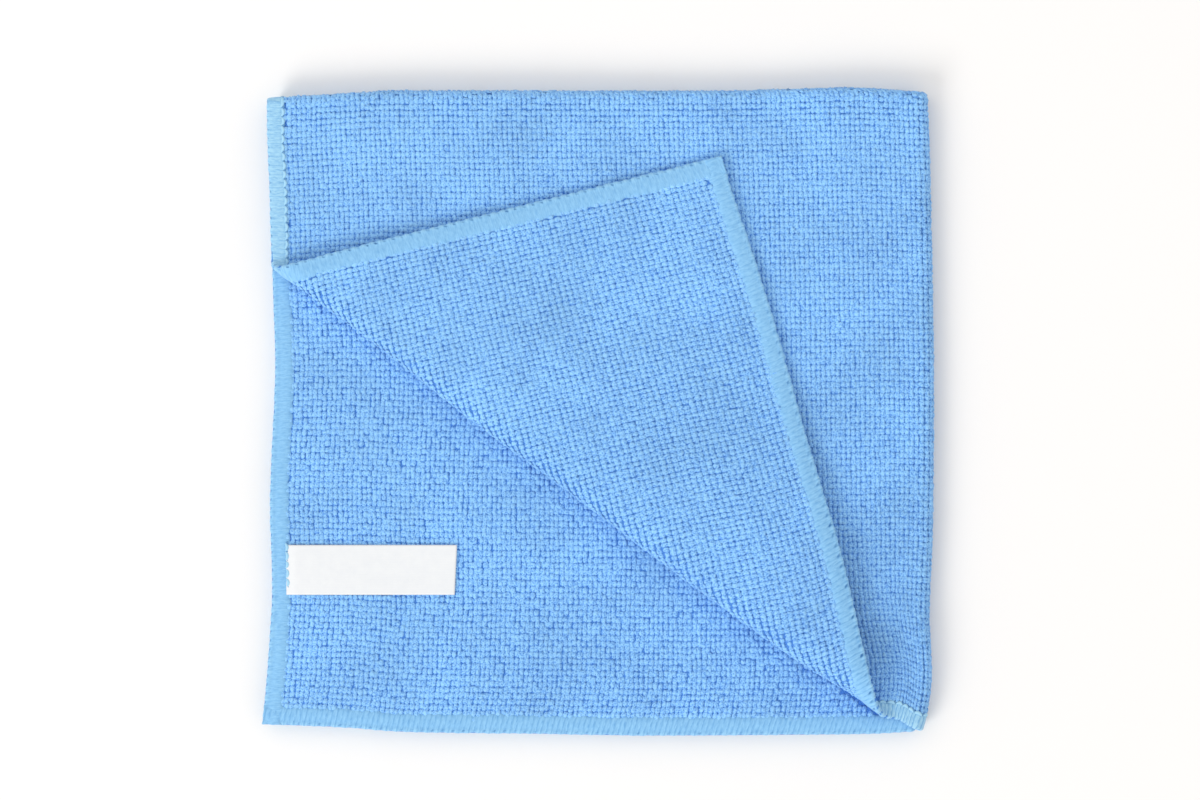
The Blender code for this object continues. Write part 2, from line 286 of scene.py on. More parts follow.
@dataclass(frozen=True)
class FoldedForm:
    """The form of the folded cloth. All sizes are in millimetres and match the solid's."""

    half_width: float = 200.0
    half_height: float = 194.0
    layer_pitch: float = 2.3
    lowest_middle_z: float = 0.85
    top_fold_y: float = 94.75
    right_fold_x: float = 96.2
    crease_point: tuple[float, float] = (-31.1, -10.7)
    crease_degrees: float = -37.94
    crease_start: float = -84.5
    crease_end: float = 142.6
    roll_radius_start: float = 2.3
    roll_radius_end: float = 3.9
    roll_begin: float = -1.5155
    flap_settling_length: float = 70.0
    # How far from the right fold the roll begins to lift the cloth, over what length it does so, and over
    # what length the pulls set in.
    lift_start: float = 4.0
    lift_length: float = 5.0
    pull_length: float = 16.0
    slope_step: float = 0.05
    left_edges: tuple = (
        # drop below the top fold, then X of layers 1 to 4
        (0.0, -97.6, -97.6, -99.6, -99.6),
        (12.0, -97.4, -97.2, -98.9, -99.5),
        (32.0, -97.6, -96.8, -98.2, -98.8),
        (57.0, -97.9, -96.9, -98.1, -98.5),
        (84.0, -97.5, -96.6, -97.3, -98.5),
        (123.0, -97.3, -96.9, -98.8, -98.7),
        (153.0, -97.6, -96.7, -98.2, -98.8),
        (165.0, -98.0, -96.9, -98.8, -98.8),
        (177.0, -98.6, -97.6, -99.6, -98.8),
        (194.0, -99.4, -98.4, -101.2, -99.0),
    )
    bottom_edges: tuple = (
        # run left of the right fold, then Y of layers 1 to 4
        (0.0, -96.2, -96.4, -96.4, -96.2),
        (12.0, -96.4, -96.6, -97.1, -95.6),
        (30.0, -96.7, -96.8, -97.4, -96.6),
        (84.0, -96.4, -96.9, -97.7, -97.4),
        (120.0, -96.6, -96.6, -97.1, -97.4),
        (158.0, -96.1, -95.9, -96.5, -97.4),
        (173.0, -95.4, -95.2, -95.3, -97.4),
        (188.0, -94.6, -94.3, -94.7, -97.4),
        (200.0, -94.0, -93.6, -94.3, -97.4),
    )
    top_fold_bow: tuple = (
        # run left of the right fold, then the bow of the lower and the upper pair of layers, in Y
        (0.0, -0.8, -0.8),
        (7.0, 0.0, -0.6),
        (22.0, 0.9, 0.1),
        (37.0, 0.6, -0.1),
        (60.0, 0.0, -0.6),
        (165.0, 0.0, -0.9),
        (173.0, -0.6, -1.2),
        (188.0, -1.5, -2.0),
        (200.0, -2.3, -2.6),
    )
    right_fold_bow: tuple = (
        # drop below the top fold, then the bow in X
        (0.0, -1.4),
        (29.0, -0.4),
        (87.0, 0.6),
        (135.0, 0.2),
        (158.0, -0.7),
        (177.0, -0.1),
        (186.0, -1.0),
        (194.0, -2.7),
    )
    flap_pulls: tuple = (
        # place on the flat cloth, pull in X and in Y, reach
        (150.0, -194.0, 2.8, 0.5, 42.0),
        (100.0, -194.0, 1.9, 0.5, 62.0),
        (64.0, -194.0, 5.2, 0.4, 50.0),
        (20.0, -188.0, 2.9, 3.4, 24.0),
        (172.0, -78.0, 0.5, 1.6, 44.0),
        (112.0, -126.0, 0.7, 1.2, 34.0),
        (200.0, -160.0, 0.0, 0.8, 60.0),
    )
    waves: tuple = (
        # height, wavelength in X and in Y, phase
        (0.34, 158.0, 196.0, 0.7),
        (0.20, -96.0, 121.0, 2.1),
    )

    @property
    def stack_height(self) -> float:
        """Give the height from the lowest layer's middle to the highest one's."""
        return 3 * self.layer_pitch

    @cached_property
    def crease_frame(self) -> tuple[np.ndarray, np.ndarray, np.ndarray]:
        """Lay out the crease in plan.

        Returns:
            A point on the crease, the direction along it, and the direction towards the corner.
        """
        angle = math.radians(self.crease_degrees)
        along = np.array((math.cos(angle), math.sin(angle)))
        return np.array(self.crease_point), along, np.array((along[1], -along[0]))

    @cached_property
    def roll_curve(self) -> tuple[np.ndarray, np.ndarray, np.ndarray]:
        """Work out the returning half of the roll, for a radius of 1.

        Returns:
            The length along it, the reach towards the corner, and the height.
        """
        length = np.linspace(0.0, math.pi, 401)
        middles = (length[1:] + length[:-1]) / 2
        angle = middles - middles ** 2 / (2 * math.pi)
        step = length[1]
        reach = self.roll_begin + 1.0 - np.concatenate(([0.0], np.cumsum(np.sin(angle)) * step))
        height = 1.0 + np.concatenate(([0.0], np.cumsum(np.cos(angle)) * step))
        return length, reach, height

    def roll_section(self, turn: np.ndarray) -> tuple[np.ndarray, np.ndarray]:
        """Follow the roll in section, for a radius of 1.

        Args:
            turn: The length along the cloth, counted from the crease.

        Returns:
            The reach towards the corner, and the height.
        """
        rising = np.clip(turn - self.roll_begin, 0.0, math.pi / 2)
        reach = np.minimum(turn, self.roll_begin) + np.sin(rising)
        height = 1.0 - np.cos(rising)
        length, reaches, heights = self.roll_curve
        back = turn - self.roll_begin - math.pi / 2
        returning = back > 0
        reach = np.where(returning, np.interp(back, length, reaches) - np.maximum(0.0, back - math.pi), reach)
        return reach, np.where(returning, np.interp(back, length, heights), height)

    def layer_of(self, a: np.ndarray, b: np.ndarray) -> np.ndarray:
        """Number the layer of each point of the flat cloth, from the lowest."""
        return np.where(a < 0, np.where(b < 0, 1, 2), np.where(b > 0, 3, 4))

    def turn_top_fold(self, b: np.ndarray) -> tuple[np.ndarray, np.ndarray]:
        """Fold the height of the cloth in half.

        Args:
            b: The places along the height.

        Returns:
            Y, and the height in the pair of layers.
        """
        radius = self.layer_pitch / 2
        quarter_turn = radius * math.pi / 2
        angle = np.clip(b, -quarter_turn, quarter_turn) / radius
        past = np.maximum(0.0, np.abs(b) - quarter_turn)
        return self.top_fold_y + radius * np.cos(angle) - past, radius * (1 + np.sin(angle))

    def turn_right_fold(self, a: np.ndarray, pair_height: np.ndarray) -> tuple[np.ndarray, np.ndarray]:
        """Fold the width of the pair of layers in half.

        Args:
            a: The places along the width.
            pair_height: The heights in the pair of layers.

        Returns:
            X, and the height in the stack of four.
        """
        radius = self.stack_height / 2 - pair_height
        quarter_turn = radius * math.pi / 2
        angle = np.clip(a, -quarter_turn, quarter_turn) / radius
        past = np.maximum(0.0, np.abs(a) - quarter_turn)
        return (
            self.right_fold_x + radius * np.cos(angle) - past,
            self.stack_height / 2 + radius * np.sin(angle),
        )

    def stacked(self, a: np.ndarray, b: np.ndarray) -> tuple[np.ndarray, np.ndarray, np.ndarray]:
        """Place points in the stack of four layers, before the corner is turned back.

        Args:
            a: Their places along the width.
            b: Their places along the height.

        Returns:
            X, Y, and the height in the stack.
        """
        y, pair_height = self.turn_top_fold(b)
        x, z = self.turn_right_fold(a, pair_height)
        run, drop = np.abs(a), np.abs(b)
        across, down = run / self.half_width, drop / self.half_height
        layer = self.layer_of(a, b)
        square_left = self.turn_right_fold(np.where(a < 0, -1, 1) * self.half_width, pair_height)[0]
        square_bottom = self.turn_top_fold(np.array(self.half_height))[0]
        left_shift = read_curve(self.left_edges, layer, drop) - square_left
        bottom_shift = read_curve(self.bottom_edges, layer, run) - square_bottom
        top_shift = read_curve(self.top_fold_bow, np.where(a < 0, 1, 2), run)
        right_shift = read_curve(self.right_fold_bow, 1, drop)
        x = x + (1 - across) * right_shift + across * left_shift
        y = y + (1 - down) * top_shift + down * bottom_shift
        return x, y, z

    def along_crease(self, x: np.ndarray, y: np.ndarray) -> tuple[np.ndarray, np.ndarray, np.ndarray]:
        """Measure points in plan against the crease.

        Args:
            x: Their X.
            y: Their Y.

        Returns:
            The distance along the crease, the distance beyond it, and the roll's radius there.
        """
        point, along, outward = self.crease_frame
        station = (x - point[0]) * along[0] + (y - point[1]) * along[1]
        beyond = (x - point[0]) * outward[0] + (y - point[1]) * outward[1]
        share = (station - self.crease_start) / (self.crease_end - self.crease_start)
        widening = self.roll_radius_end - self.roll_radius_start
        return station, beyond, self.roll_radius_start + share * widening

    def roll_turn(self, a: np.ndarray, b: np.ndarray) -> np.ndarray:
        """Measure how far round the roll points of layer 4 lie.

        Args:
            a: Their places along the width.
            b: Their places along the height.

        Returns:
            The length along the cloth from the crease, in roll radii.
        """
        x, y, _ = self.stacked(a, b)
        _, beyond, radius = self.along_crease(x, y)
        return beyond / radius

    def turned_back(
        self, a: np.ndarray, b: np.ndarray, x: np.ndarray, y: np.ndarray, z: np.ndarray
    ) -> tuple[np.ndarray, np.ndarray, np.ndarray]:
        """Roll points over the slanting crease, and pull the turned corner out of square.

        Args:
            a: Their places along the width.
            b: Their places along the height.
            x: Their X in the stack.
            y: Their Y in the stack.
            z: Their height in the stack.

        Returns:
            X, Y and the height in the stack, turned back.
        """
        point, along, outward = self.crease_frame
        station, beyond, radius = self.along_crease(x, y)
        reach, height = self.roll_section(beyond / radius)
        roll_top = self.roll_section(np.array(math.pi * 1.5))[1]
        settling = eased((beyond - radius) / self.flap_settling_length)
        settled = settling * (roll_top * radius - self.layer_pitch)
        x = point[0] + along[0] * station + outward[0] * reach * radius
        y = point[1] + along[1] * station + outward[1] * reach * radius
        z = z + eased((a - self.lift_start) / self.lift_length) * height * radius - settled
        for pull_a, pull_b, push_x, push_y, far in self.flap_pulls:
            near = eased(a / self.pull_length) * np.exp(-((a - pull_a) ** 2 + (b - pull_b) ** 2) / far ** 2)
            x = x + near * push_x
            y = y + near * push_y
        return x, y, z

    def middle(self, a: np.ndarray, b: np.ndarray) -> np.ndarray:
        """Place points of the flat cloth in the folded bundle.

        Args:
            a: Their places along the width.
            b: Their places along the height.

        Returns:
            Places at the middle of the cloth's thickness, one row each.
        """
        x, y, z = self.stacked(a, b)
        share = z / self.stack_height
        turned = self.turned_back(a, b, x, y, z)
        top = self.layer_of(a, b) == 4
        x, y, z = (np.where(top, new, old) for new, old in zip(turned, (x, y, z)))
        return np.stack((x, y, z + self.lowest_middle_z + share * self.top_wave(x, y)), axis=-1)

    def top_wave(self, x: np.ndarray, y: np.ndarray) -> np.ndarray:
        """Measure how far the low waves lift the top of the stack.

        Args:
            x: The places' X.
            y: The places' Y.

        Returns:
            The height above the even stack.
        """
        wave = np.zeros_like(x)
        for height, length_x, length_y, phase in self.waves:
            wave = wave + height * np.sin(2 * math.pi * (x / length_x + y / length_y) + phase)
        return wave

    def axes(self, a: np.ndarray, b: np.ndarray) -> tuple[np.ndarray, np.ndarray, np.ndarray, np.ndarray]:
        """Place points with their directions.

        Args:
            a: Their places along the width.
            b: Their places along the height.

        Returns:
            The places, the directions along a and along b, and the direction out of the inner face.
        """
        step = self.slope_step
        along_a = (self.middle(a + step, b) - self.middle(a - step, b)) / (2 * step)
        along_b = (self.middle(a, b + step) - self.middle(a, b - step)) / (2 * step)
        normal = np.cross(along_a, along_b)
        normal = normal / np.linalg.norm(normal, axis=-1, keepdims=True)
        return self.middle(a, b), along_a, along_b, normal

    def lifted(self, a: np.ndarray, b: np.ndarray, lift: np.ndarray | float) -> np.ndarray:
        """Place points above the middle of the cloth, towards its inner face."""
        places, _, _, normal = self.axes(a, b)
        return places + normal * np.asarray(lift)[..., None]


@dataclass(frozen=True)
class MicrofibrePile:
    """Microfibre terry: split polyester and polyamide filaments, knitted in short loops.

    Each tuft is a bundle of filaments finer than the eye can part, so its crown is matt, with a faint bloom
    at glancing angles. Its colour darkens from the pale crown to a deep pure blue at the root: partly the
    pile's own deeper blue, and partly painted shade in the gaps between tufts, where light is lost.
    """

    name: str = "microfibre_pile"
    # From the root to the crown: the root's deep blue is partly painted shade between the tufts.
    gap: str = "#6099E0"
    root: str = "#76B0F0"
    body: str = "#8BC4F9"
    crown: str = "#99D1FF"
    bloom: str = "#CFE6FF"
    # The filaments are 0.01 mm across, too fine to show, so they are drawn as locks half a tuft wide.
    strand_spacing: float = 0.42
    strand_length: float = 0.52
    # How strongly a lock, the height on the tuft and the tuft's own tone set the shade, and what counts as
    # the gap's shade. The height's part is partly painted shade: the lower on the tuft, the darker.
    strand_share: float = 3.7
    rise_share: float = 0.65
    tone_share: float = 0.20
    gap_level: float = 1.78
    # Uneven washing and handling leave paler and darker places 15 to 50 mm wide.
    patch_size: float = 26.0
    patch_strength: float = 0.10

    def make(self) -> bpy.types.Material:
        """Make the material, which reads each tuft's place and tone from the mesh.

        Returns:
            The new material.
        """
        material, tree, surface = new_material(self.name)
        place = add_node(tree, "ShaderNodeAttribute", {"attribute_name": "pile_place"}).outputs["Vector"]
        tone = add_node(tree, "ShaderNodeAttribute", {"attribute_name": "pile_tone"}).outputs["Vector"]
        parts = add_node(tree, "ShaderNodeSeparateXYZ", inputs={0: tone})
        strand_scale = (1 / self.strand_spacing, 1 / self.strand_length, 1 / self.strand_spacing)
        stretched = add_node(
            tree, "ShaderNodeVectorMath", {"operation": "MULTIPLY"}, {0: place, 1: strand_scale}
        )
        strands = add_node(
            tree,
            "ShaderNodeTexNoise",
            inputs={"Vector": stretched.outputs[0], "Scale": 1.0, "Detail": 1.0, "Roughness": 0.5},
        )
        # The height on the tuft paints shade: the lower a point lies on its tuft, the darker its colour.
        risen = add_node(
            tree, "ShaderNodeMath", {"operation": "MULTIPLY"}, {0: parts.outputs["X"], 1: self.rise_share}
        )
        patches = add_node(
            tree,
            "ShaderNodeTexNoise",
            inputs={"Vector": place, "Scale": 1 / self.patch_size, "Detail": 3.0, "Roughness": 0.55},
        )
        streaked = add_node(
            tree,
            "ShaderNodeMath",
            {"operation": "MULTIPLY_ADD"},
            {0: strands.outputs["Fac"], 1: self.strand_share, 2: risen.outputs[0]},
        )
        varied = add_node(
            tree,
            "ShaderNodeMath",
            {"operation": "MULTIPLY_ADD"},
            {0: parts.outputs["Y"], 1: self.tone_share, 2: streaked.outputs[0]},
        )
        level = add_node(
            tree, "ShaderNodeMath", {"operation": "SUBTRACT"}, {0: varied.outputs[0], 1: self.gap_level}
        )
        ramp = add_node(tree, "ShaderNodeValToRGB", inputs={"Fac": level.outputs[0]})
        ramp.color_ramp.elements[0].color = linear_rgb(self.gap)
        ramp.color_ramp.elements[1].color = linear_rgb(self.crown)
        for position, code in ((0.30, self.root), (0.62, self.body)):
            ramp.color_ramp.elements.new(position).color = linear_rgb(code)
        shade = add_node(
            tree,
            "ShaderNodeMapRange",
            inputs={
                "Value": patches.outputs["Fac"],
                "From Min": 0.3,
                "From Max": 0.7,
                "To Min": 1.0 - self.patch_strength,
                "To Max": 1.0 + self.patch_strength / 2,
            },
        )
        color = add_node(
            tree,
            "ShaderNodeVectorMath",
            {"operation": "SCALE"},
            {0: ramp.outputs["Color"], "Scale": shade.outputs["Result"]},
        )
        relief = add_node(
            tree,
            "ShaderNodeBump",
            inputs={"Height": strands.outputs["Fac"], "Strength": 0.8, "Distance": 0.3 * MM},
        )
        looks = {
            "Base Color": color.outputs[0],
            "Normal": relief.outputs[0],
            "Roughness": 0.9,
            "IOR": 1.57,
            "Specular IOR Level": 0.25,
            "Sheen Weight": 0.25,
            "Sheen Roughness": 0.5,
            "Sheen Tint": linear_rgb(self.bloom),
        }
        fill_sockets(tree, surface, looks)
        return material


@dataclass(frozen=True)
class KnittedGround:
    """The knitted polyester ground under the pile: fine, flat and dark blue between the tufts."""

    name: str = "knitted_ground"
    shade: str = "#4079CB"
    light: str = "#5893E0"
    # The ground's stitches are half as wide as a tuft, so two lie under each.
    stitch_width: float = 0.735
    stitch_height: float = 0.9

    def make(self) -> bpy.types.Material:
        """Make the material, which reads each point's place on the flat cloth from the mesh.

        Returns:
            The new material.
        """
        material, tree, surface = new_material(self.name)
        place = add_node(tree, "ShaderNodeAttribute", {"attribute_name": "pile_place"}).outputs["Vector"]
        scaled = add_node(
            tree,
            "ShaderNodeVectorMath",
            {"operation": "MULTIPLY"},
            {0: place, 1: (2 * math.pi / self.stitch_width, 2 * math.pi / self.stitch_height, 0.0)},
        )
        waves = add_node(tree, "ShaderNodeVectorMath", {"operation": "SINE"}, {0: scaled.outputs[0]})
        parts = add_node(tree, "ShaderNodeSeparateXYZ", inputs={0: waves.outputs[0]})
        knit = add_node(
            tree,
            "ShaderNodeMath",
            {"operation": "MULTIPLY_ADD"},
            {0: parts.outputs["X"], 1: parts.outputs["Y"], 2: 0.5},
        )
        color = add_node(
            tree,
            "ShaderNodeMix",
            {"data_type": "RGBA"},
            {"Factor": knit.outputs[0], "A": linear_rgb(self.shade), "B": linear_rgb(self.light)},
        )
        relief = add_node(
            tree,
            "ShaderNodeBump",
            inputs={"Height": knit.outputs[0], "Strength": 0.5, "Distance": 0.1 * MM},
        )
        looks = {
            "Base Color": color.outputs["Result"],
            "Normal": relief.outputs[0],
            "Roughness": 0.9,
            "IOR": 1.57,
            "Specular IOR Level": 0.2,
        }
        fill_sockets(tree, surface, looks)
        return material


@dataclass(frozen=True)
class WoollyOverlock:
    """Bulked polyester overlock yarn, laid side by side across the edge until no cloth shows.

    The crimped yarn spreads into a pale, soft, almost smooth band. Small dark notches show where the
    looper threads cross near the rim, and thin dark lines where one loop lies against the next.
    """

    name: str = "woolly_overlock"
    yarn: str = "#8FC6EE"
    fluffed: str = "#A6D5EE"
    between: str = "#69A5D9"
    notch: str = "#3D78B4"
    bloom: str = "#E4F3FF"
    # A strand is 0.25 mm across, too fine to show, so the loops are drawn: two to each stitch.
    loops_per_stitch: float = 2.0
    # The crimped strands inside a loop: how many to a stitch, and how often one breaks off across the band.
    strands_per_stitch: float = 6.0
    breaks_per_mm: float = 0.5
    # How far the crimp throws the line between two loops off, in radians, and how dark that line is.
    crimp: float = 4.5
    furrow_depth: float = 0.42
    notch_width: float = 0.16
    notch_slant: float = 0.10
    # How much the strands fray the notch's outline.
    notch_fraying: float = 1.2
    strand_slant: float = 0.035

    def make(self) -> bpy.types.Material:
        """Make the material, which reads the place in the stitching from the mesh.

        Returns:
            The new material.
        """
        material, tree, surface = new_material(self.name)
        place = add_node(tree, "ShaderNodeAttribute", {"attribute_name": "stitch_place"}).outputs["Vector"]
        look = add_node(tree, "ShaderNodeAttribute", {"attribute_name": "stitch_look"}).outputs["Vector"]
        parts = add_node(tree, "ShaderNodeSeparateXYZ", inputs={0: place})
        shares = add_node(tree, "ShaderNodeSeparateXYZ", inputs={0: look})
        phase, depth, off_notch = (parts.outputs[key] for key in "XYZ")
        ribs, notches, fluff = (shares.outputs[key] for key in "XYZ")
        slanted = add_node(
            tree, "ShaderNodeMath", {"operation": "MULTIPLY_ADD"}, {0: depth, 1: self.strand_slant, 2: phase}
        )
        crossing = add_node(
            tree,
            "ShaderNodeMath",
            {"operation": "MULTIPLY_ADD"},
            {0: off_notch, 1: self.notch_slant, 2: phase},
        )
        drawn = add_node(tree, "ShaderNodeCombineXYZ", inputs={"X": slanted.outputs[0], "Y": depth})
        stretched = add_node(
            tree,
            "ShaderNodeVectorMath",
            {"operation": "MULTIPLY"},
            {0: drawn.outputs[0], 1: (self.strands_per_stitch, self.breaks_per_mm, 1.0)},
        )
        strands = add_node(
            tree,
            "ShaderNodeTexNoise",
            inputs={"Vector": stretched.outputs[0], "Scale": 1.0, "Detail": 2.0, "Roughness": 0.6},
        )
        turned = add_node(
            tree,
            "ShaderNodeMath",
            {"operation": "MULTIPLY"},
            {0: slanted.outputs[0], 1: 2 * math.pi * self.loops_per_stitch},
        )
        wandering = add_node(
            tree,
            "ShaderNodeMath",
            {"operation": "MULTIPLY_ADD"},
            {0: strands.outputs["Fac"], 1: self.crimp, 2: turned.outputs[0]},
        )
        swell = add_node(tree, "ShaderNodeMath", {"operation": "SINE"}, {0: wandering.outputs[0]})
        furrow = add_node(
            tree,
            "ShaderNodeMapRange",
            {"interpolation_type": "SMOOTHSTEP"},
            {
                "Value": swell.outputs[0],
                "From Min": 0.35,
                "From Max": 1.0,
                "To Min": 0.0,
                "To Max": -self.furrow_depth,
            },
        )
        level = add_node(
            tree,
            "ShaderNodeMath",
            {"operation": "MULTIPLY_ADD"},
            {0: furrow.outputs["Result"], 1: ribs, 2: strands.outputs["Fac"]},
        )
        across = add_node(tree, "ShaderNodeMath", {"operation": "FRACT"}, {0: crossing.outputs[0]})
        off_middle = add_node(
            tree, "ShaderNodeMath", {"operation": "SUBTRACT"}, {0: across.outputs[0], 1: 0.5}
        )
        wide = add_node(
            tree, "ShaderNodeMath", {"operation": "DIVIDE"}, {0: off_middle.outputs[0], 1: self.notch_width}
        )
        both = add_node(tree, "ShaderNodeCombineXYZ", inputs={"X": wide.outputs[0], "Y": off_notch})
        far = add_node(tree, "ShaderNodeVectorMath", {"operation": "LENGTH"}, {0: both.outputs[0]})
        frayed = add_node(
            tree,
            "ShaderNodeMath",
            {"operation": "MULTIPLY_ADD"},
            {0: strands.outputs["Fac"], 1: self.notch_fraying, 2: far.outputs["Value"]},
        )
        dent = add_node(
            tree,
            "ShaderNodeMapRange",
            {"interpolation_type": "SMOOTHSTEP"},
            {"Value": frayed.outputs[0], "From Min": 0.9, "From Max": 2.0, "To Min": 1.0, "To Max": 0.0},
        )
        seen = add_node(
            tree, "ShaderNodeMath", {"operation": "MULTIPLY"}, {0: dent.outputs["Result"], 1: notches}
        )
        pale = add_node(
            tree,
            "ShaderNodeMix",
            {"data_type": "RGBA"},
            {"Factor": fluff, "A": linear_rgb(self.yarn), "B": linear_rgb(self.fluffed)},
        )
        share = add_node(
            tree,
            "ShaderNodeMapRange",
            inputs={"Value": level.outputs[0], "From Min": 0.08, "From Max": 0.62},
        )
        laid = add_node(
            tree,
            "ShaderNodeMix",
            {"data_type": "RGBA"},
            {
                "Factor": share.outputs["Result"],
                "A": linear_rgb(self.between),
                "B": pale.outputs["Result"],
            },
        )
        color = add_node(
            tree,
            "ShaderNodeMix",
            {"data_type": "RGBA"},
            {"Factor": seen.outputs[0], "A": laid.outputs["Result"], "B": linear_rgb(self.notch)},
        )
        height = add_node(
            tree, "ShaderNodeMath", {"operation": "SUBTRACT"}, {0: level.outputs[0], 1: seen.outputs[0]}
        )
        relief = add_node(
            tree,
            "ShaderNodeBump",
            inputs={"Height": height.outputs[0], "Strength": 0.8, "Distance": 0.2 * MM},
        )
        looks = {
            "Base Color": color.outputs["Result"],
            "Normal": relief.outputs[0],
            "Roughness": 0.82,
            "IOR": 1.57,
            "Specular IOR Level": 0.3,
            "Sheen Weight": 0.2,
            "Sheen Roughness": 0.5,
            "Sheen Tint": linear_rgb(self.bloom),
        }
        fill_sockets(tree, surface, looks)
        return material


@dataclass(frozen=True)
class NeedleThread:
    """Spun polyester sewing thread, twisted: pale and matt. Where it dives into the cloth, its dark colour is
    painted shade.
    """

    name: str = "needle_thread"
    thread: str = "#A3D3EE"
    # Painted shade for the needle holes, worn by the dark beads between the stitches.
    painted_hole_shade: str = "#4C86BE"
    # The twist turns every 0.6 mm, and shades the thread this much.
    twist: float = 0.6
    twist_shade: float = 0.15

    def make(self) -> bpy.types.Material:
        """Make the material, which reads the place along the thread from the mesh.

        Returns:
            The new material.
        """
        material, tree, surface = new_material(self.name)
        place = add_node(tree, "ShaderNodeAttribute", {"attribute_name": "thread_place"}).outputs["Vector"]
        parts = add_node(tree, "ShaderNodeSeparateXYZ", inputs={0: place})
        fuzz = add_node(tree, "ShaderNodeTexNoise", inputs={"Vector": place, "Scale": 2.5, "Detail": 2.0})
        turned = add_node(
            tree,
            "ShaderNodeMath",
            {"operation": "MULTIPLY_ADD"},
            {0: parts.outputs["X"], 1: 2 * math.pi / self.twist, 2: parts.outputs["Y"]},
        )
        ply = add_node(tree, "ShaderNodeMath", {"operation": "SINE"}, {0: turned.outputs[0]})
        level = add_node(
            tree,
            "ShaderNodeMath",
            {"operation": "MULTIPLY_ADD"},
            {0: ply.outputs[0], 1: self.twist_shade, 2: fuzz.outputs["Fac"]},
        )
        # The beads in the needle holes take the painted hole shade.
        depth = add_node(
            tree,
            "ShaderNodeMath",
            {"operation": "MULTIPLY_ADD"},
            {0: level.outputs[0], 1: -0.4, 2: parts.outputs["Z"]},
        )
        color = add_node(
            tree,
            "ShaderNodeMix",
            {"data_type": "RGBA"},
            {"Factor": depth.outputs[0], "A": linear_rgb(self.thread), "B": linear_rgb(self.painted_hole_shade)},
        )
        relief = add_node(
            tree,
            "ShaderNodeBump",
            inputs={"Height": level.outputs[0], "Strength": 0.5, "Distance": 0.1 * MM},
        )
        looks = {
            "Base Color": color.outputs["Result"],
            "Normal": relief.outputs[0],
            "Roughness": 0.75,
            "IOR": 1.57,
            "Specular IOR Level": 0.3,
        }
        fill_sockets(tree, surface, looks)
        return material


@dataclass(frozen=True)
class SatinTape:
    """Polyester satin tape, woven and heat-cut: a smooth white face with a faint rib across it."""

    name: str = "satin_tape"
    face: str = "#EDEEEE"
    rib: str = "#E2E4E7"
    # The weft lies 0.12 mm apart, too fine to show, so it is drawn 0.5 mm apart.
    rib_spacing: float = 0.5
    rib_shade: float = 0.10

    def make(self) -> bpy.types.Material:
        """Make the material, which reads each point's place on the tape from the mesh.

        Returns:
            The new material.
        """
        material, tree, surface = new_material(self.name)
        place = add_node(tree, "ShaderNodeAttribute", {"attribute_name": "tape_place"}).outputs["Vector"]
        parts = add_node(tree, "ShaderNodeSeparateXYZ", inputs={0: place})
        turned = add_node(
            tree,
            "ShaderNodeMath",
            {"operation": "MULTIPLY"},
            {0: parts.outputs["Y"], 1: 2 * math.pi / self.rib_spacing},
        )
        ribs = add_node(tree, "ShaderNodeMath", {"operation": "SINE"}, {0: turned.outputs[0]})
        cloudy = add_node(
            tree,
            "ShaderNodeTexNoise",
            inputs={"Vector": place, "Scale": 0.35, "Detail": 4.0, "Roughness": 0.6},
        )
        level = add_node(
            tree,
            "ShaderNodeMath",
            {"operation": "MULTIPLY_ADD"},
            {0: ribs.outputs[0], 1: self.rib_shade, 2: cloudy.outputs["Fac"]},
        )
        color = add_node(
            tree,
            "ShaderNodeMix",
            {"data_type": "RGBA"},
            {"Factor": level.outputs[0], "A": linear_rgb(self.face), "B": linear_rgb(self.rib)},
        )
        relief = add_node(
            tree,
            "ShaderNodeBump",
            inputs={"Height": level.outputs[0], "Strength": 0.35, "Distance": 0.05 * MM},
        )
        looks = {
            "Base Color": color.outputs["Result"],
            "Normal": relief.outputs[0],
            "Roughness": 0.55,
            "IOR": 1.57,
            "Specular IOR Level": 0.4,
        }
        fill_sockets(tree, surface, looks)
        return material


@dataclass(frozen=True)
class PaleFloor:
    """A matt white painted board: it takes soft shadows and shows no grain."""

    name: str = "pale_floor"
    paint: str = "#F7F5F3"
    mottle: str = "#F5F3F1"

    def make(self) -> bpy.types.Material:
        """Make the material.

        Returns:
            The new material.
        """
        material, tree, surface = new_material(self.name)
        where = add_node(tree, "ShaderNodeTexCoord").outputs["Object"]
        mottled = add_node(tree, "ShaderNodeTexNoise", inputs={"Vector": where, "Scale": 3.0, "Detail": 2.0})
        color = add_node(
            tree,
            "ShaderNodeMix",
            {"data_type": "RGBA"},
            {"Factor": mottled.outputs["Fac"], "A": linear_rgb(self.paint), "B": linear_rgb(self.mottle)},
        )
        looks = {"Base Color": color.outputs["Result"], "Roughness": 0.8, "Specular IOR Level": 0.1}
        fill_sockets(tree, surface, looks)
        return material


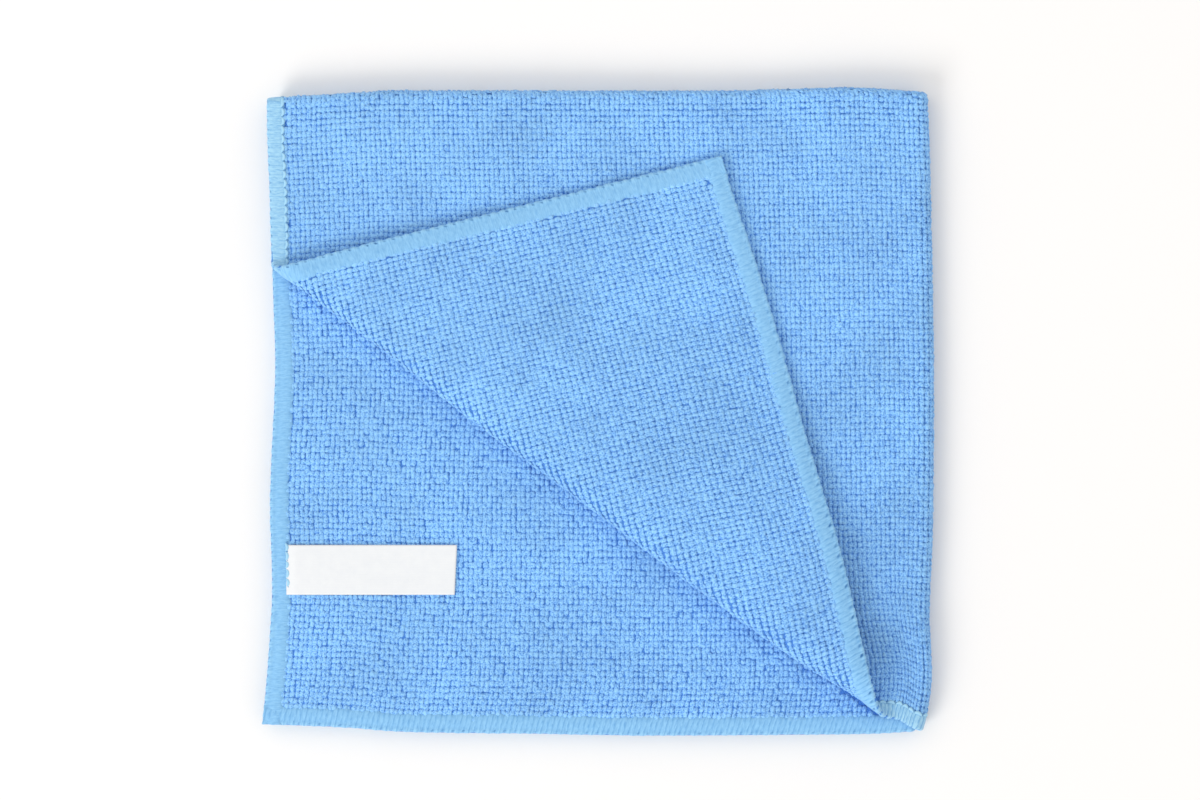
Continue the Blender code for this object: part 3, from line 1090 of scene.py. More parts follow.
@dataclass(frozen=True)
class GroundCloth:
    """The knitted ground: one thin closed sheet, cut along its folds and the roll, and then folded."""

    form: FoldedForm
    thickness: float = 1.0
    grid_pitch: float = 7.0
    fold_cuts_a: tuple = (0.0, 0.6, 1.2, 1.81, 2.7, 3.6, 4.5, 5.42)
    fold_cuts_b: tuple = (0.0, 0.45, 0.9, 1.35, 1.81)
    roll_cuts: tuple = (
        -1.52, -1.25, -1.0, -0.75, -0.5, -0.22, 0.05, 0.33, 0.6, 0.9, 1.2, 1.55, 1.9, 2.3, 2.8, 3.8, 5.0, 8.0,
    )
    sliver: float = 0.15

    def cut_places(self, half: float, fold_cuts: tuple) -> list[float]:
        """List the places where the flat cloth is cut across.

        Args:
            half: Half of its size that way.
            fold_cuts: The cuts at the fold, on one side of it.

        Returns:
            The places of all cuts, in order.
        """
        rest = half - max(fold_cuts)
        count = round(rest / self.grid_pitch)
        places = set(fold_cuts) | {max(fold_cuts) + k * rest / count for k in range(1, count)}
        return sorted(places | {-place for place in places})

    def cut(self, mesh: bmesh.types.BMesh, point: Vector, normal: Vector, faces: set) -> None:
        """Cut some faces of the flat mesh along a straight line.

        Args:
            mesh: The flat mesh.
            point: A point on the line.
            normal: The direction across it.
            faces: The faces to cut.
        """
        edges = {edge for face in faces for edge in face.edges}
        verts = {vert for face in faces for vert in face.verts}
        geometry = list(faces) + list(edges) + list(verts)
        bmesh.ops.bisect_plane(mesh, geom=geometry, dist=1e-5, plane_co=point, plane_no=normal)

    def roll_line(self, turn: float) -> tuple[Vector, Vector]:
        """Find the flat line that lies at one turn of the roll, on layer 4.

        Args:
            turn: The length along the cloth from the crease, in roll radii.

        Returns:
            A point on the line, and the direction across it.
        """
        form = self.form
        point, along, outward = form.crease_frame
        width_at_zero = form.right_fold_x + form.stack_height / 2 * math.pi / 2
        height_at_zero = form.top_fold_y + form.layer_pitch / 2 * math.pi / 2
        ends = []
        for station, radius in (
            (form.crease_start, form.roll_radius_start),
            (form.crease_end, form.roll_radius_end),
        ):
            plan = point + along * station + outward * turn * radius
            ends.append(Vector((width_at_zero - plan[0], plan[1] - height_at_zero, 0.0)))
        run = ends[1] - ends[0]
        return ends[0], Vector((run.y, -run.x, 0.0)).normalized()

    def flat_mesh(self) -> tuple[np.ndarray, np.ndarray, np.ndarray]:
        """Cut the flat cloth.

        Returns:
            The flat points, the triangles, and the edges round the outside, as point numbers.
        """
        mesh = bmesh.new()
        half_width, half_height = self.form.half_width, self.form.half_height
        corners = ((-1, -1), (1, -1), (1, 1), (-1, 1))
        mesh.faces.new([mesh.verts.new((i * half_width, j * half_height, 0.0)) for i, j in corners])
        for place in self.cut_places(half_width, self.fold_cuts_a):
            self.cut(mesh, Vector((place, 0.0, 0.0)), Vector((1.0, 0.0, 0.0)), set(mesh.faces))
        for place in self.cut_places(half_height, self.fold_cuts_b):
            self.cut(mesh, Vector((0.0, place, 0.0)), Vector((0.0, 1.0, 0.0)), set(mesh.faces))
        for turn in self.roll_cuts:
            top_layer = {face for face in mesh.faces if self.is_on_top_layer(face.calc_center_median())}
            point, normal = self.roll_line(turn)
            self.cut(mesh, point, normal, top_layer)
        bmesh.ops.remove_doubles(mesh, verts=list(mesh.verts), dist=self.sliver)
        bmesh.ops.triangulate(mesh, faces=list(mesh.faces))
        mesh.verts.index_update()
        points = np.array([vert.co[:2] for vert in mesh.verts])
        triangles = np.array([[vert.index for vert in face.verts] for face in mesh.faces])
        loops = [edge.link_loops[0] for edge in mesh.edges if edge.is_boundary]
        rim = np.array([(loop.vert.index, loop.link_loop_next.vert.index) for loop in loops])
        mesh.free()
        return points, triangles, rim

    def is_on_top_layer(self, place: Vector) -> bool:
        """Tell whether a place on the flat cloth belongs to layer 4."""
        return place.x > 0 > place.y

    def build(self, finish: KnittedGround) -> bpy.types.Object:
        """Fold the flat cloth, give it its thickness and dress it.

        Args:
            finish: The finish of the ground.

        Returns:
            The closed sheet.
        """
        points, triangles, rim = self.flat_mesh()
        a, b = points[:, 0], points[:, 1]
        inner = self.form.lifted(a, b, self.thickness / 2)
        outer = self.form.lifted(a, b, -self.thickness / 2)
        count = len(points)
        first, second = rim[:, 0], rim[:, 1]
        rim_faces = split_quads(first + count, second + count, second, first)
        faces = np.concatenate((triangles, triangles[:, ::-1] + count, rim_faces))
        place = np.stack((a, b, np.zeros_like(a)), axis=1)
        return mesh_object(
            "cloth_ground",
            np.concatenate((inner, outer)),
            faces,
            finish.make(),
            {"pile_place": np.concatenate((place, place))},
        )


@dataclass(frozen=True)
class TuftShape:
    """The shape of one tuft: rings from its root to its shoulder, and a crown."""

    corners: int
    # Each ring: its width as a share of the tuft's, its height as a share of the pile's, and how far its
    # corners stray from both.
    rings: tuple
    crown: float = 1.0

    def faces(self) -> np.ndarray:
        """List the triangles of one tuft, wound to face outwards on the inner side of the cloth."""
        return np.array(tapering_faces(0, len(self.rings), self.corners))


@dataclass(frozen=True)
class LoopPile:
    """The tufts of looped pile on one part of the cloth, joined in one mesh."""

    form: FoldedForm
    area: PileArea
    side: Side
    shape: TuftShape
    pitch_a: float = 1.47
    pitch_b: float = 1.80
    # From the middle of the cloth: where the tufts start, inside the ground, and how high they reach.
    root_lift: float = 0.35
    crown_lift: float = 1.02
    # How wide the overlock is before the first tufts, on the inner and the outer side.
    band_inner: float = 4.8
    band_outer: float = 4.6
    # How unevenly the first tufts start, and how far into the pile the overlock's paleness reaches.
    border_stray: float = 0.4
    border_reach: float = 1.4
    border_paleness: float = 1.2
    # The pile is a little paler towards the upper left: over what distance, how much, and where that ends.
    paler_upper_left_reach: float = 140.0
    paler_upper_left_share: float = 0.40
    paler_upper_left_limit: float = 1.2
    # How full a tuft is, as a share of its cell: over 1 it leans on its neighbours.
    fill_a: float = 1.22
    fill_b: float = 1.28
    squareness: float = 2.0
    # How far the crowns follow a bend's stretch, at 1 so that no gap opens over it, and how far to both
    # sides that stretch is measured.
    spread: float = 1.0
    stretch_step: float = 1.3
    # How far tufts stray from their places and sizes, how far the crowns stray in height, and how far the
    # tufts lean and are twisted.
    wander: float = 0.05
    unevenness: float = 0.06
    crown_stray: float = 0.07
    lean: float = 0.14
    twist: float = 0.2
    # Columns and rows bend gently: the long wave, its swing and what swings it, and the short wave with its
    # slant, all as lengths over 2 pi but for the swing. Then the short wave's share, and the bend's.
    column_bend: tuple = (2.9, 1.7, 7.3, 1.3, 2.1)
    row_bend: tuple = (3.7, 1.9, 8.1, 1.7, -2.6)
    short_wave_share: float = 0.7
    bend_share: float = 0.5
    # How much further the tufts wander over the top fold, and how far from it.
    fold_wander: float = 0.13
    fold_reach: float = 4.0
    # The rows round the top fold lie closer on the flat cloth, because the bend spreads their crowns.
    fold_rows: tuple = (0.75, 1.5)
    # The rows part a little: by how much, where, and over what reach. Then how unevenly they do so.
    parting_beside_fold: tuple = (0.12, 6.0, 3.0)
    parting_on_fold: tuple = (0.35, 0.0, 1.6)
    parting_on_roll: tuple = (0.28, 0.7, 1.4)
    parting_stray: float = 0.4
    # How many rows of the outer side go past the top fold.
    rows_past_fold: float = 1.6
    # From the roll's beginning, in roll radii: where the turned corner's pile starts, and the top layer's
    # ends. Layer 3's ends at a multiple of the roll's beginning.
    corner_start: float = -0.1
    top_layer_end: float = 0.3
    third_layer_end: float = 1.1
    seed: int = 1
    # The corners of the turned corner in plan, from the tip at the left over the upper to the lower right.
    flap_outline: tuple = ((-95.7, 43.9), (36.5, 76.0), (86.7, -91.6))
    flap_margin: float = 9.0

    def cells(self) -> tuple[np.ndarray, np.ndarray]:
        """Lay out the tufts that show.

        Returns:
            Their places along the width and along the height of the flat cloth.
        """
        form = self.form
        columns = np.arange(math.ceil(form.half_width / self.pitch_a)) + 0.5
        rows = (np.arange(math.ceil(form.half_height / self.pitch_b)) + 1.5) * self.pitch_b
        rows = np.concatenate((self.fold_rows, rows))
        columns = np.concatenate((-columns[::-1], columns)) * self.pitch_a
        rows = np.concatenate((-rows[::-1], (0.0,), rows))
        a, b = (grid.ravel() for grid in np.meshgrid(columns, rows, indexing="ij"))
        stray = np.random.default_rng(self.seed + 1).normal(0.0, self.border_stray, len(a))
        inside = self.past_border(a, b) > stray
        a, b = a[inside], b[inside]
        shown = self.shows(a, b)
        return a[shown], b[shown]

    def past_border(self, a: np.ndarray, b: np.ndarray) -> np.ndarray:
        """Measure how far in from the overlock's border some places on the flat cloth lie."""
        band = self.band_inner if self.side == Side.INNER else self.band_outer
        return np.minimum(self.form.half_width - np.abs(a), self.form.half_height - np.abs(b)) - band

    def shows(self, a: np.ndarray, b: np.ndarray) -> np.ndarray:
        """Tell which places on the flat cloth belong to this area and show.

        Args:
            a: The places along the width.
            b: The places along the height.

        Returns:
            True where the place shows.
        """
        form = self.form
        past_top_fold = b < self.rows_past_fold * self.pitch_b
        if self.area in (PileArea.UNDERSIDE_LEFT, PileArea.UNDERSIDE_RIGHT):
            left = a < -form.half_width / 2
            wanted = left if self.area == PileArea.UNDERSIDE_LEFT else ~left
            return (a < 0) & past_top_fold & wanted
        if self.area == PileArea.TURNED_CORNER:
            return (a > 0) & (b < 0) & (form.roll_turn(a, b) > form.roll_begin + self.corner_start)
        places = form.middle(a, b)
        if self.area == PileArea.THIRD_LAYER:
            _, beyond, radius = form.along_crease(places[:, 0], places[:, 1])
            return (a > 0) & (b > 0) & (beyond > self.third_layer_end * form.roll_begin * radius)
        tip, upper, lower = (np.array(corner) for corner in self.flap_outline)
        bare = self.is_past(places, tip, upper) | self.is_past(places, upper, lower)
        flat = form.roll_turn(a, b) < form.roll_begin + self.top_layer_end
        return (a > 0) & past_top_fold & bare & (flat | (b > 0))

    def crown_axes(self, a: np.ndarray, b: np.ndarray) -> tuple[np.ndarray, np.ndarray]:
        """Measure how far a bend spreads or crowds the tufts at the height of their crowns.

        Args:
            a: The tufts' places along the width.
            b: The tufts' places along the height.

        Returns:
            The directions along a and along b at that height, as long as the stretch there.
        """
        step, lift = self.stretch_step, self.crown_lift * self.side.value
        along_a = self.form.lifted(a + step, b, lift) - self.form.lifted(a - step, b, lift)
        along_b = self.form.lifted(a, b + step, lift) - self.form.lifted(a, b - step, lift)
        return along_a / (2 * step), along_b / (2 * step)

    def row_fill(self, a: np.ndarray, b: np.ndarray) -> np.ndarray:
        """Give how full the rows are: they part a little over the top fold and over the roll.

        Args:
            a: The tufts' places along the width.
            b: The tufts' places along the height.

        Returns:
            How full each row is, as a share of a row in the flat parts.
        """
        partings = [(np.abs(b), self.parting_beside_fold), (b, self.parting_on_fold)]
        if self.area == PileArea.TURNED_CORNER:
            partings.append((self.form.roll_turn(a, b), self.parting_on_roll))
        fill = np.ones_like(b)
        for places, (share, middle, reach) in partings:
            fill = fill - share * hump(places, middle, reach)
        return fill

    def bent(self, places: np.ndarray, others: np.ndarray, bend: tuple) -> np.ndarray:
        """Bend the columns or the rows gently.

        Args:
            places: The tufts' places along the column or row.
            others: Their places across it.
            bend: The waves, as column_bend and row_bend give them.

        Returns:
            How far each tuft lies off its column or row, as a share.
        """
        long_wave, swing, swinging, short_wave, slant = bend
        short = np.sin(places / short_wave + others / slant)
        return np.sin(places / long_wave + swing * np.sin(others / swinging)) + self.short_wave_share * short

    def is_past(self, places: np.ndarray, start: np.ndarray, end: np.ndarray) -> np.ndarray:
        """Tell which places lie left of a line in plan, or less than the margin right of it.

        Args:
            places: The places, one row each.
            start: Where the line starts.
            end: Where it ends.

        Returns:
            True where the place does.
        """
        run = (end - start) / np.linalg.norm(end - start)
        left = run[0] * (places[:, 1] - start[1]) - run[1] * (places[:, 0] - start[0])
        return left > -self.flap_margin

    def build(self, material: bpy.types.Material) -> bpy.types.Object:
        """Make every tuft of this area.

        Args:
            material: The finish of the pile.

        Returns:
            The joined tufts.
        """
        chance = np.random.default_rng(self.seed)
        a, b = self.cells()
        count = len(a)
        drift = self.unevenness
        bent_a = self.bent(b, a, self.column_bend)
        bent_b = self.bent(a, b, self.row_bend)
        a = a + chance.normal(0.0, self.wander, count) + self.bend_share * self.wander * bent_a
        b = b + chance.normal(0.0, self.wander, count) + self.bend_share * self.wander * bent_b
        b = b + chance.normal(0.0, 1.0, count) * self.fold_wander * hump(b, 0.0, self.fold_reach)
        origin, along_a, along_b, normal = self.form.axes(a, b)
        out = normal * self.side.value
        crown_a, crown_b = self.crown_axes(a, b)
        fill = self.row_fill(a, b)
        half_a = self.pitch_a / 2 * (self.fill_a + chance.normal(0.0, drift, count))
        parted = drift + self.parting_stray * np.maximum(1.0 - fill, 0.0)
        half_b = self.pitch_b / 2 * (self.fill_b * fill + chance.normal(0.0, parted, count))
        crown = self.crown_lift + chance.normal(0.0, self.crown_stray, count)
        lean_a = chance.normal(0.0, self.lean, count)
        lean_b = chance.normal(0.0, self.lean, count)
        twist = chance.normal(0.0, self.twist, count)
        n = self.shape.corners
        angle = 2 * math.pi * np.arange(n) / n + twist[:, None]
        power = self.squareness
        square = (np.abs(np.cos(angle)) ** power + np.abs(np.sin(angle)) ** power) ** (-1 / power)
        points, tones, places = [], [], []
        # The tufts are made paler towards the upper left and darker towards the lower right, by their place
        # alone.
        towards_upper_left = (origin[:, 1] - origin[:, 0]) / self.paler_upper_left_reach
        paler_upper_left = np.clip(towards_upper_left, -self.paler_upper_left_limit, self.paler_upper_left_limit)
        fluffed = hump(self.past_border(a, b), 0.0, self.border_reach)
        own_tone = chance.random(count)
        tone_of_tuft = own_tone + self.paler_upper_left_share * paler_upper_left + self.border_paleness * fluffed
        for width, height, stray in (*self.shape.rings, (0.0, self.shape.crown, 0.0)):
            corners = n if width else 1
            bulge = width * square[:, :corners] * (1.0 + chance.normal(0.0, 1.0, (count, corners)) * stray)
            u = np.cos(angle[:, :corners]) * bulge * half_a[:, None] + (lean_a * height)[:, None]
            v = np.sin(angle[:, :corners]) * bulge * half_b[:, None] + (lean_b * height)[:, None]
            raised = height * (1.0 + chance.normal(0.0, 1.0, (count, corners)) * stray)
            w = self.root_lift + (crown - self.root_lift)[:, None] * raised
            axis_a = along_a + self.spread * height * (crown_a - along_a)
            axis_b = along_b + self.spread * height * (crown_b - along_b)
            shift = axis_a[:, None] * u[..., None] + axis_b[:, None] * v[..., None]
            points.append(origin[:, None] + shift + out[:, None] * w[..., None])
            tones.append(np.stack((height + 0.0 * u, tone_of_tuft[:, None] + 0.0 * u, w), axis=-1))
            places.append(np.stack((a[:, None] + u, b[:, None] + v, w), axis=-1))
        points, tones, places = (np.concatenate(part, axis=1) for part in (points, tones, places))
        points[..., 2] = above_floor(points[..., 2])
        faces = self.shape.faces()
        if self.side == Side.OUTER:
            faces = faces[:, ::-1]
        per_tuft = points.shape[1]
        triangles = (faces[None] + per_tuft * np.arange(count)[:, None, None]).reshape(-1, 3)
        return mesh_object(
            f"pile_{self.area.value}",
            points.reshape(-1, 3),
            triangles,
            material,
            {"pile_place": places.reshape(-1, 3), "pile_tone": tones.reshape(-1, 3)},
        )


@dataclass(frozen=True)
class OverlockedEdge:
    """The overlock stitching that wraps one edge of the cloth."""

    form: FoldedForm
    edge: Edge
    sections_per_stitch: int = 8
    pitch_across: float = 2.73
    pitch_along: float = 3.15
    # Round the edge from the inner face to the outer: the distance from the rim, and the lift.
    section: tuple = (
        (5.75, 0.55),
        (5.35, 0.92),
        (4.50, 1.10),
        (3.30, 1.14),
        (2.40, 1.06),
        (1.80, 0.96),
        (1.35, 0.86),
        (0.90, 0.94),
        (0.40, 0.88),
        (0.00, 0.55),
        (-0.12, 0.00),
        (0.00, -0.55),
        (0.40, -0.86),
        (0.90, -0.94),
        (1.80, -0.98),
        (2.90, -1.02),
        (4.00, -0.99),
        (4.70, -0.86),
        (5.05, -0.50),
    )
    # Depths from the rim: where the yarn is padded, and where the band ends on the cloth's inner and outer
    # side. Each reach says how wide the strip is that is shaped there.
    padded_place: float = 3.6
    padded_reach: float = 1.6
    inner_border: float = 5.5
    outer_border: float = 4.85
    border_reach: float = 0.5
    rim_reach: float = 0.8
    # How high the stitches swell, all alike and each on its own, and how high the two loops of each stand.
    swelling: float = 0.03
    own_swelling: float = 0.03
    loop_height: float = 0.03
    loop_slant: float = 0.035
    notch_depth: float = 0.22
    notch_slant: float = 0.10
    rim_swelling: float = 0.05
    # How far the stitches push the border in and the rim out, all alike and each on its own.
    border_scallop: float = 0.26
    own_border_scallop: float = 0.18
    rim_scallop: float = 0.09
    own_rim_scallop: float = 0.06
    # How fluffed the yarn is, as a share, on the outer side and where it bulges at the rim.
    outer_fluff: float = 0.9
    rim_fluff: float = 0.7
    seed: int = 5

    @property
    def runs_along_height(self) -> bool:
        """Tell whether the edge runs along b."""
        return self.edge in (Edge.WEST, Edge.EAST)

    @property
    def half(self) -> float:
        """Give half of the edge's length."""
        return self.form.half_height if self.runs_along_height else self.form.half_width

    @property
    def stitches(self) -> int:
        """Count the stitches along the edge."""
        return round(2 * self.half / (self.pitch_across if self.runs_along_height else self.pitch_along))

    @property
    def pitch(self) -> float:
        """Give the length of a stitch."""
        return 2 * self.half / self.stitches

    def flat_place(self, run: np.ndarray, depth: np.ndarray) -> tuple[np.ndarray, np.ndarray]:
        """Place points on the flat cloth.

        Args:
            run: Their places along the edge.
            depth: Their distances from its rim.

        Returns:
            Their a and b.
        """
        if self.edge == Edge.WEST:
            return depth - self.form.half_width, run
        if self.edge == Edge.EAST:
            return self.form.half_width - depth, run
        if self.edge == Edge.SOUTH:
            return run, depth - self.form.half_height
        return run, self.form.half_height - depth

    def stitch_marks(
        self, run: np.ndarray, inner: np.ndarray
    ) -> tuple[np.ndarray, np.ndarray, np.ndarray, np.ndarray]:
        """Tell how the stitches look along the edge: drawn tighter, they part into notches or ribs.

        Args:
            run: The places along the edge.
            inner: How far each point is on the inner side, as a share.

        Returns:
            The notches' distance from the rim, their length across the band, how deep they are, and how
            strong the ribs are.
        """
        none = 0.0 * run
        outer_marks = (0.1, 0.35, 0.5, 0.25)
        if self.edge == Edge.SOUTH:
            nearing_tip = eased(1.0 - run / self.form.half_width)
            marks = (1.1, 0.35 + 0.3 * nearing_tip, 0.3 + 0.9 * nearing_tip, 0.25 + 0.35 * nearing_tip)
            outer_marks = (0.1, 0.35, 0.3, 0.8)
        elif self.edge == Edge.EAST:
            turned = eased((-40.0 - run) / 20.0)
            nearing_corner = eased((-120.0 - run) / 74.0)
            marks = (0.15 + 0.5 * turned, 0.32, 0.40 + (0.45 - 0.4 * nearing_corner) * turned, 0.2)
        elif self.edge == Edge.NORTH:
            marks = (0.55, 0.32, 0.45, 0.55)
        else:
            marks = (0.15, 0.32, 0.40, 0.2)
        place, length, share, ribs = (
            outside + (inside - outside) * inner + none for inside, outside in zip(marks, outer_marks)
        )
        return place, length, share, ribs

    def build(self, material: bpy.types.Material) -> bpy.types.Object:
        """Sweep the section along the edge, and shape every stitch.

        Args:
            material: The finish of the yarn.

        Returns:
            The closed band.
        """
        form, stitches = self.form, self.stitches
        count = stitches * self.sections_per_stitch + 1
        runs = np.linspace(-self.half, self.half, count)
        phase = np.linspace(0.0, stitches, count)
        depth, lift = (np.array(part) for part in zip(*self.section))
        corners = len(depth)
        run, depth = (grid for grid in np.meshgrid(runs, depth, indexing="ij"))
        phase = phase[:, None] + 0.0 * depth
        lift = lift[None, :] + 0.0 * depth
        inner = eased(lift / 0.5)
        outer = eased(-lift / 0.5)
        chance = np.random.default_rng(self.seed)
        knots = chance.normal(0.0, 1.0, stitches + 2)
        own = np.interp(phase, np.arange(stitches + 2) - 0.5, knots)
        swell = np.cos(2 * math.pi * phase)
        middle = hump(depth, self.padded_place, self.padded_reach)
        border = hump(depth, np.where(lift > 0, self.inner_border, self.outer_border), self.border_reach)
        rim = hump(depth, 0.0, self.rim_reach)
        notch_place, notch_length, notch_share, ribs = self.stitch_marks(run, inner)
        notch_share = notch_share * np.clip(0.8 + 0.3 * own, 0.2, 1.2)
        off_notch = (depth - notch_place) / notch_length
        hollow = 0.5 - 0.5 * np.cos(2 * math.pi * (phase + self.notch_slant * off_notch))
        notch = np.exp(-off_notch ** 2) * hollow ** 3 * notch_share
        loops = self.loop_height * ribs * np.cos(4 * math.pi * (phase + self.loop_slant * depth))
        padding = (self.swelling * swell + self.own_swelling * own + loops) * middle
        lift = lift + inner * (padding - self.notch_depth * notch + self.rim_swelling * rim * swell)
        lift = lift - outer * padding
        depth = depth + border * (self.border_scallop * swell + self.own_border_scallop * own)
        depth = depth - rim * (self.rim_scallop * swell + self.own_rim_scallop * own)
        a, b = self.flat_place(run, depth)
        points = form.lifted(a, b, lift)
        points[..., 2] = above_floor(points[..., 2])
        number = np.arange(count * corners).reshape(count, corners)
        near, far = number[:-1], number[1:]
        sides = split_quads(near, far, np.roll(far, -1, axis=1), np.roll(near, -1, axis=1))
        fan = np.arange(1, corners - 1)
        first, last = number[0], number[-1]
        caps = np.concatenate(
            (
                np.stack((first[0] + 0 * fan, first[fan], first[fan + 1]), axis=-1),
                np.stack((last[0] + 0 * fan, last[fan + 1], last[fan]), axis=-1),
            )
        )
        triangles = np.concatenate((sides, caps))
        if self.edge in (Edge.WEST, Edge.NORTH):
            triangles = triangles[:, ::-1]
        fluffed = self.outer_fluff * outer + self.rim_fluff * rim * (0.5 + 0.5 * swell)
        look = np.stack((ribs, notch_share, fluffed), axis=-1)
        place = np.stack((phase, depth, off_notch), axis=-1)
        return mesh_object(
            f"overlock_{self.edge.value}",
            points.reshape(-1, 3),
            triangles,
            material,
            {"stitch_place": place.reshape(-1, 3), "stitch_look": look.reshape(-1, 3)},
        )


@dataclass(frozen=True)
class NeedleSeam:
    """The row of needle stitches where an overlocked band meets the pile, with dark beads of painted shade in
    the holes between them.
    """

    band: OverlockedEdge
    side: Side
    first: float
    last: float
    name: str
    depth: float = 4.85
    lift: float = 1.04
    # Half of a stitch's width and height, and its length as a share of the stitch.
    half_width: float = 0.55
    half_height: float = 0.26
    share: float = 0.92
    # The dark beads of painted shade where the thread dives in: half of their length, width and height.
    gap: tuple = (0.34, 0.40, 0.14)
    gap_sinking: float = 0.06
    bow: float = -0.5
    # A bead: where its rings lie, as shares of half its length, how full its ends are, and its corners.
    ring_places: tuple = (-0.92, -0.6, 0.0, 0.6, 0.92)
    fullness: float = 2.6
    corners: int = 6
    # How far the beads stray in length, as a share, and in their place across and their tilt.
    length_stray: float = 0.06
    place_stray: float = 0.08
    tilt_stray: float = 0.07
    # How far the twist runs on from the foot of a bead to its top.
    twist_rise: float = 3.0
    seed: int = 21

    def bead_faces(self, rings: int) -> np.ndarray:
        """List the triangles of one closed bead: a tip, its rings and the other tip.

        Args:
            rings: How many rings it has.

        Returns:
            Three point numbers for each triangle.
        """
        n = self.corners
        tip = [(0, 1 + (k + 1) % n, 1 + k) for k in range(n)]
        return np.array(tip + tapering_faces(1, rings, n))

    def beads(
        self, middles: np.ndarray, sizes: tuple, bow: float, dark: float, lift: float
    ) -> tuple[np.ndarray, np.ndarray, np.ndarray]:
        """Make one bead at each place along the edge.

        Args:
            middles: The places along the edge.
            sizes: Half of a bead's length, width and height.
            bow: How far its ends lie deeper in from the rim than its middle.
            dark: 1 for a bead of painted shade in a hole, and 0 for thread.
            lift: How high it lies.

        Returns:
            The points, their places on the thread, and the triangles.
        """
        chance = np.random.default_rng(self.seed)
        count = len(middles)
        along = np.array(self.ring_places)
        width = np.sqrt(1.0 - np.abs(along) ** self.fullness)
        angle = 2 * math.pi * np.arange(self.corners) / self.corners
        s = np.concatenate(((-1.0,), np.repeat(along, self.corners), (1.0,)))
        u = np.concatenate(((0.0,), (width[:, None] * np.cos(angle)).ravel(), (0.0,)))
        v = np.concatenate(((0.0,), (width[:, None] * np.sin(angle)).ravel(), (0.0,)))
        length = sizes[0] * (1.0 + chance.normal(0.0, self.length_stray, count))[:, None]
        stray = chance.normal(0.0, self.place_stray, count)[:, None]
        tilt = chance.normal(0.0, self.tilt_stray, count)[:, None]
        run = middles[:, None] + s * length
        depth = self.depth + stray + tilt * s + bow * s ** 2 + u * sizes[1]
        a, b = self.band.flat_place(run, depth)
        points = self.band.form.lifted(a, b, self.side.value * (lift + v * sizes[2]))
        points[..., 2] = above_floor(points[..., 2])
        place = np.stack((run, self.twist_rise * v + 0.0 * run, dark + 0.0 * run), axis=-1)
        faces = self.bead_faces(len(along))
        triangles = (faces[None] + len(s) * np.arange(count)[:, None, None]).reshape(-1, 3)
        corner = points[0][faces]
        volume = np.einsum("ij,ij->i", corner[:, 0], np.cross(corner[:, 1], corner[:, 2])).sum()
        return points.reshape(-1, 3), place.reshape(-1, 3), triangles if volume > 0 else triangles[:, ::-1]

    def build(self, material: bpy.types.Material) -> bpy.types.Object:
        """Make the stitches, and the dark beads of painted shade in the holes between them.

        Args:
            material: The finish of the thread.

        Returns:
            The joined stitches.
        """
        pitch = self.band.pitch
        count = round((self.last - self.first) / pitch)
        ends = self.first + pitch * np.arange(count + 1)
        thread = (self.share * pitch / 2, self.half_width, self.half_height)
        points, place, triangles = self.beads(ends[:-1] + pitch / 2, thread, self.bow, 0.0, self.lift)
        # Dark beads of painted shade fill the holes between the stitches.
        sunk = self.lift - self.gap_sinking
        more, more_place, more_triangles = self.beads(ends, self.gap, 0.0, 1.0, sunk)
        return mesh_object(
            self.name,
            np.concatenate((points, more)),
            np.concatenate((triangles, more_triangles + len(points))),
            material,
            {"thread_place": np.concatenate((place, more_place))},
        )


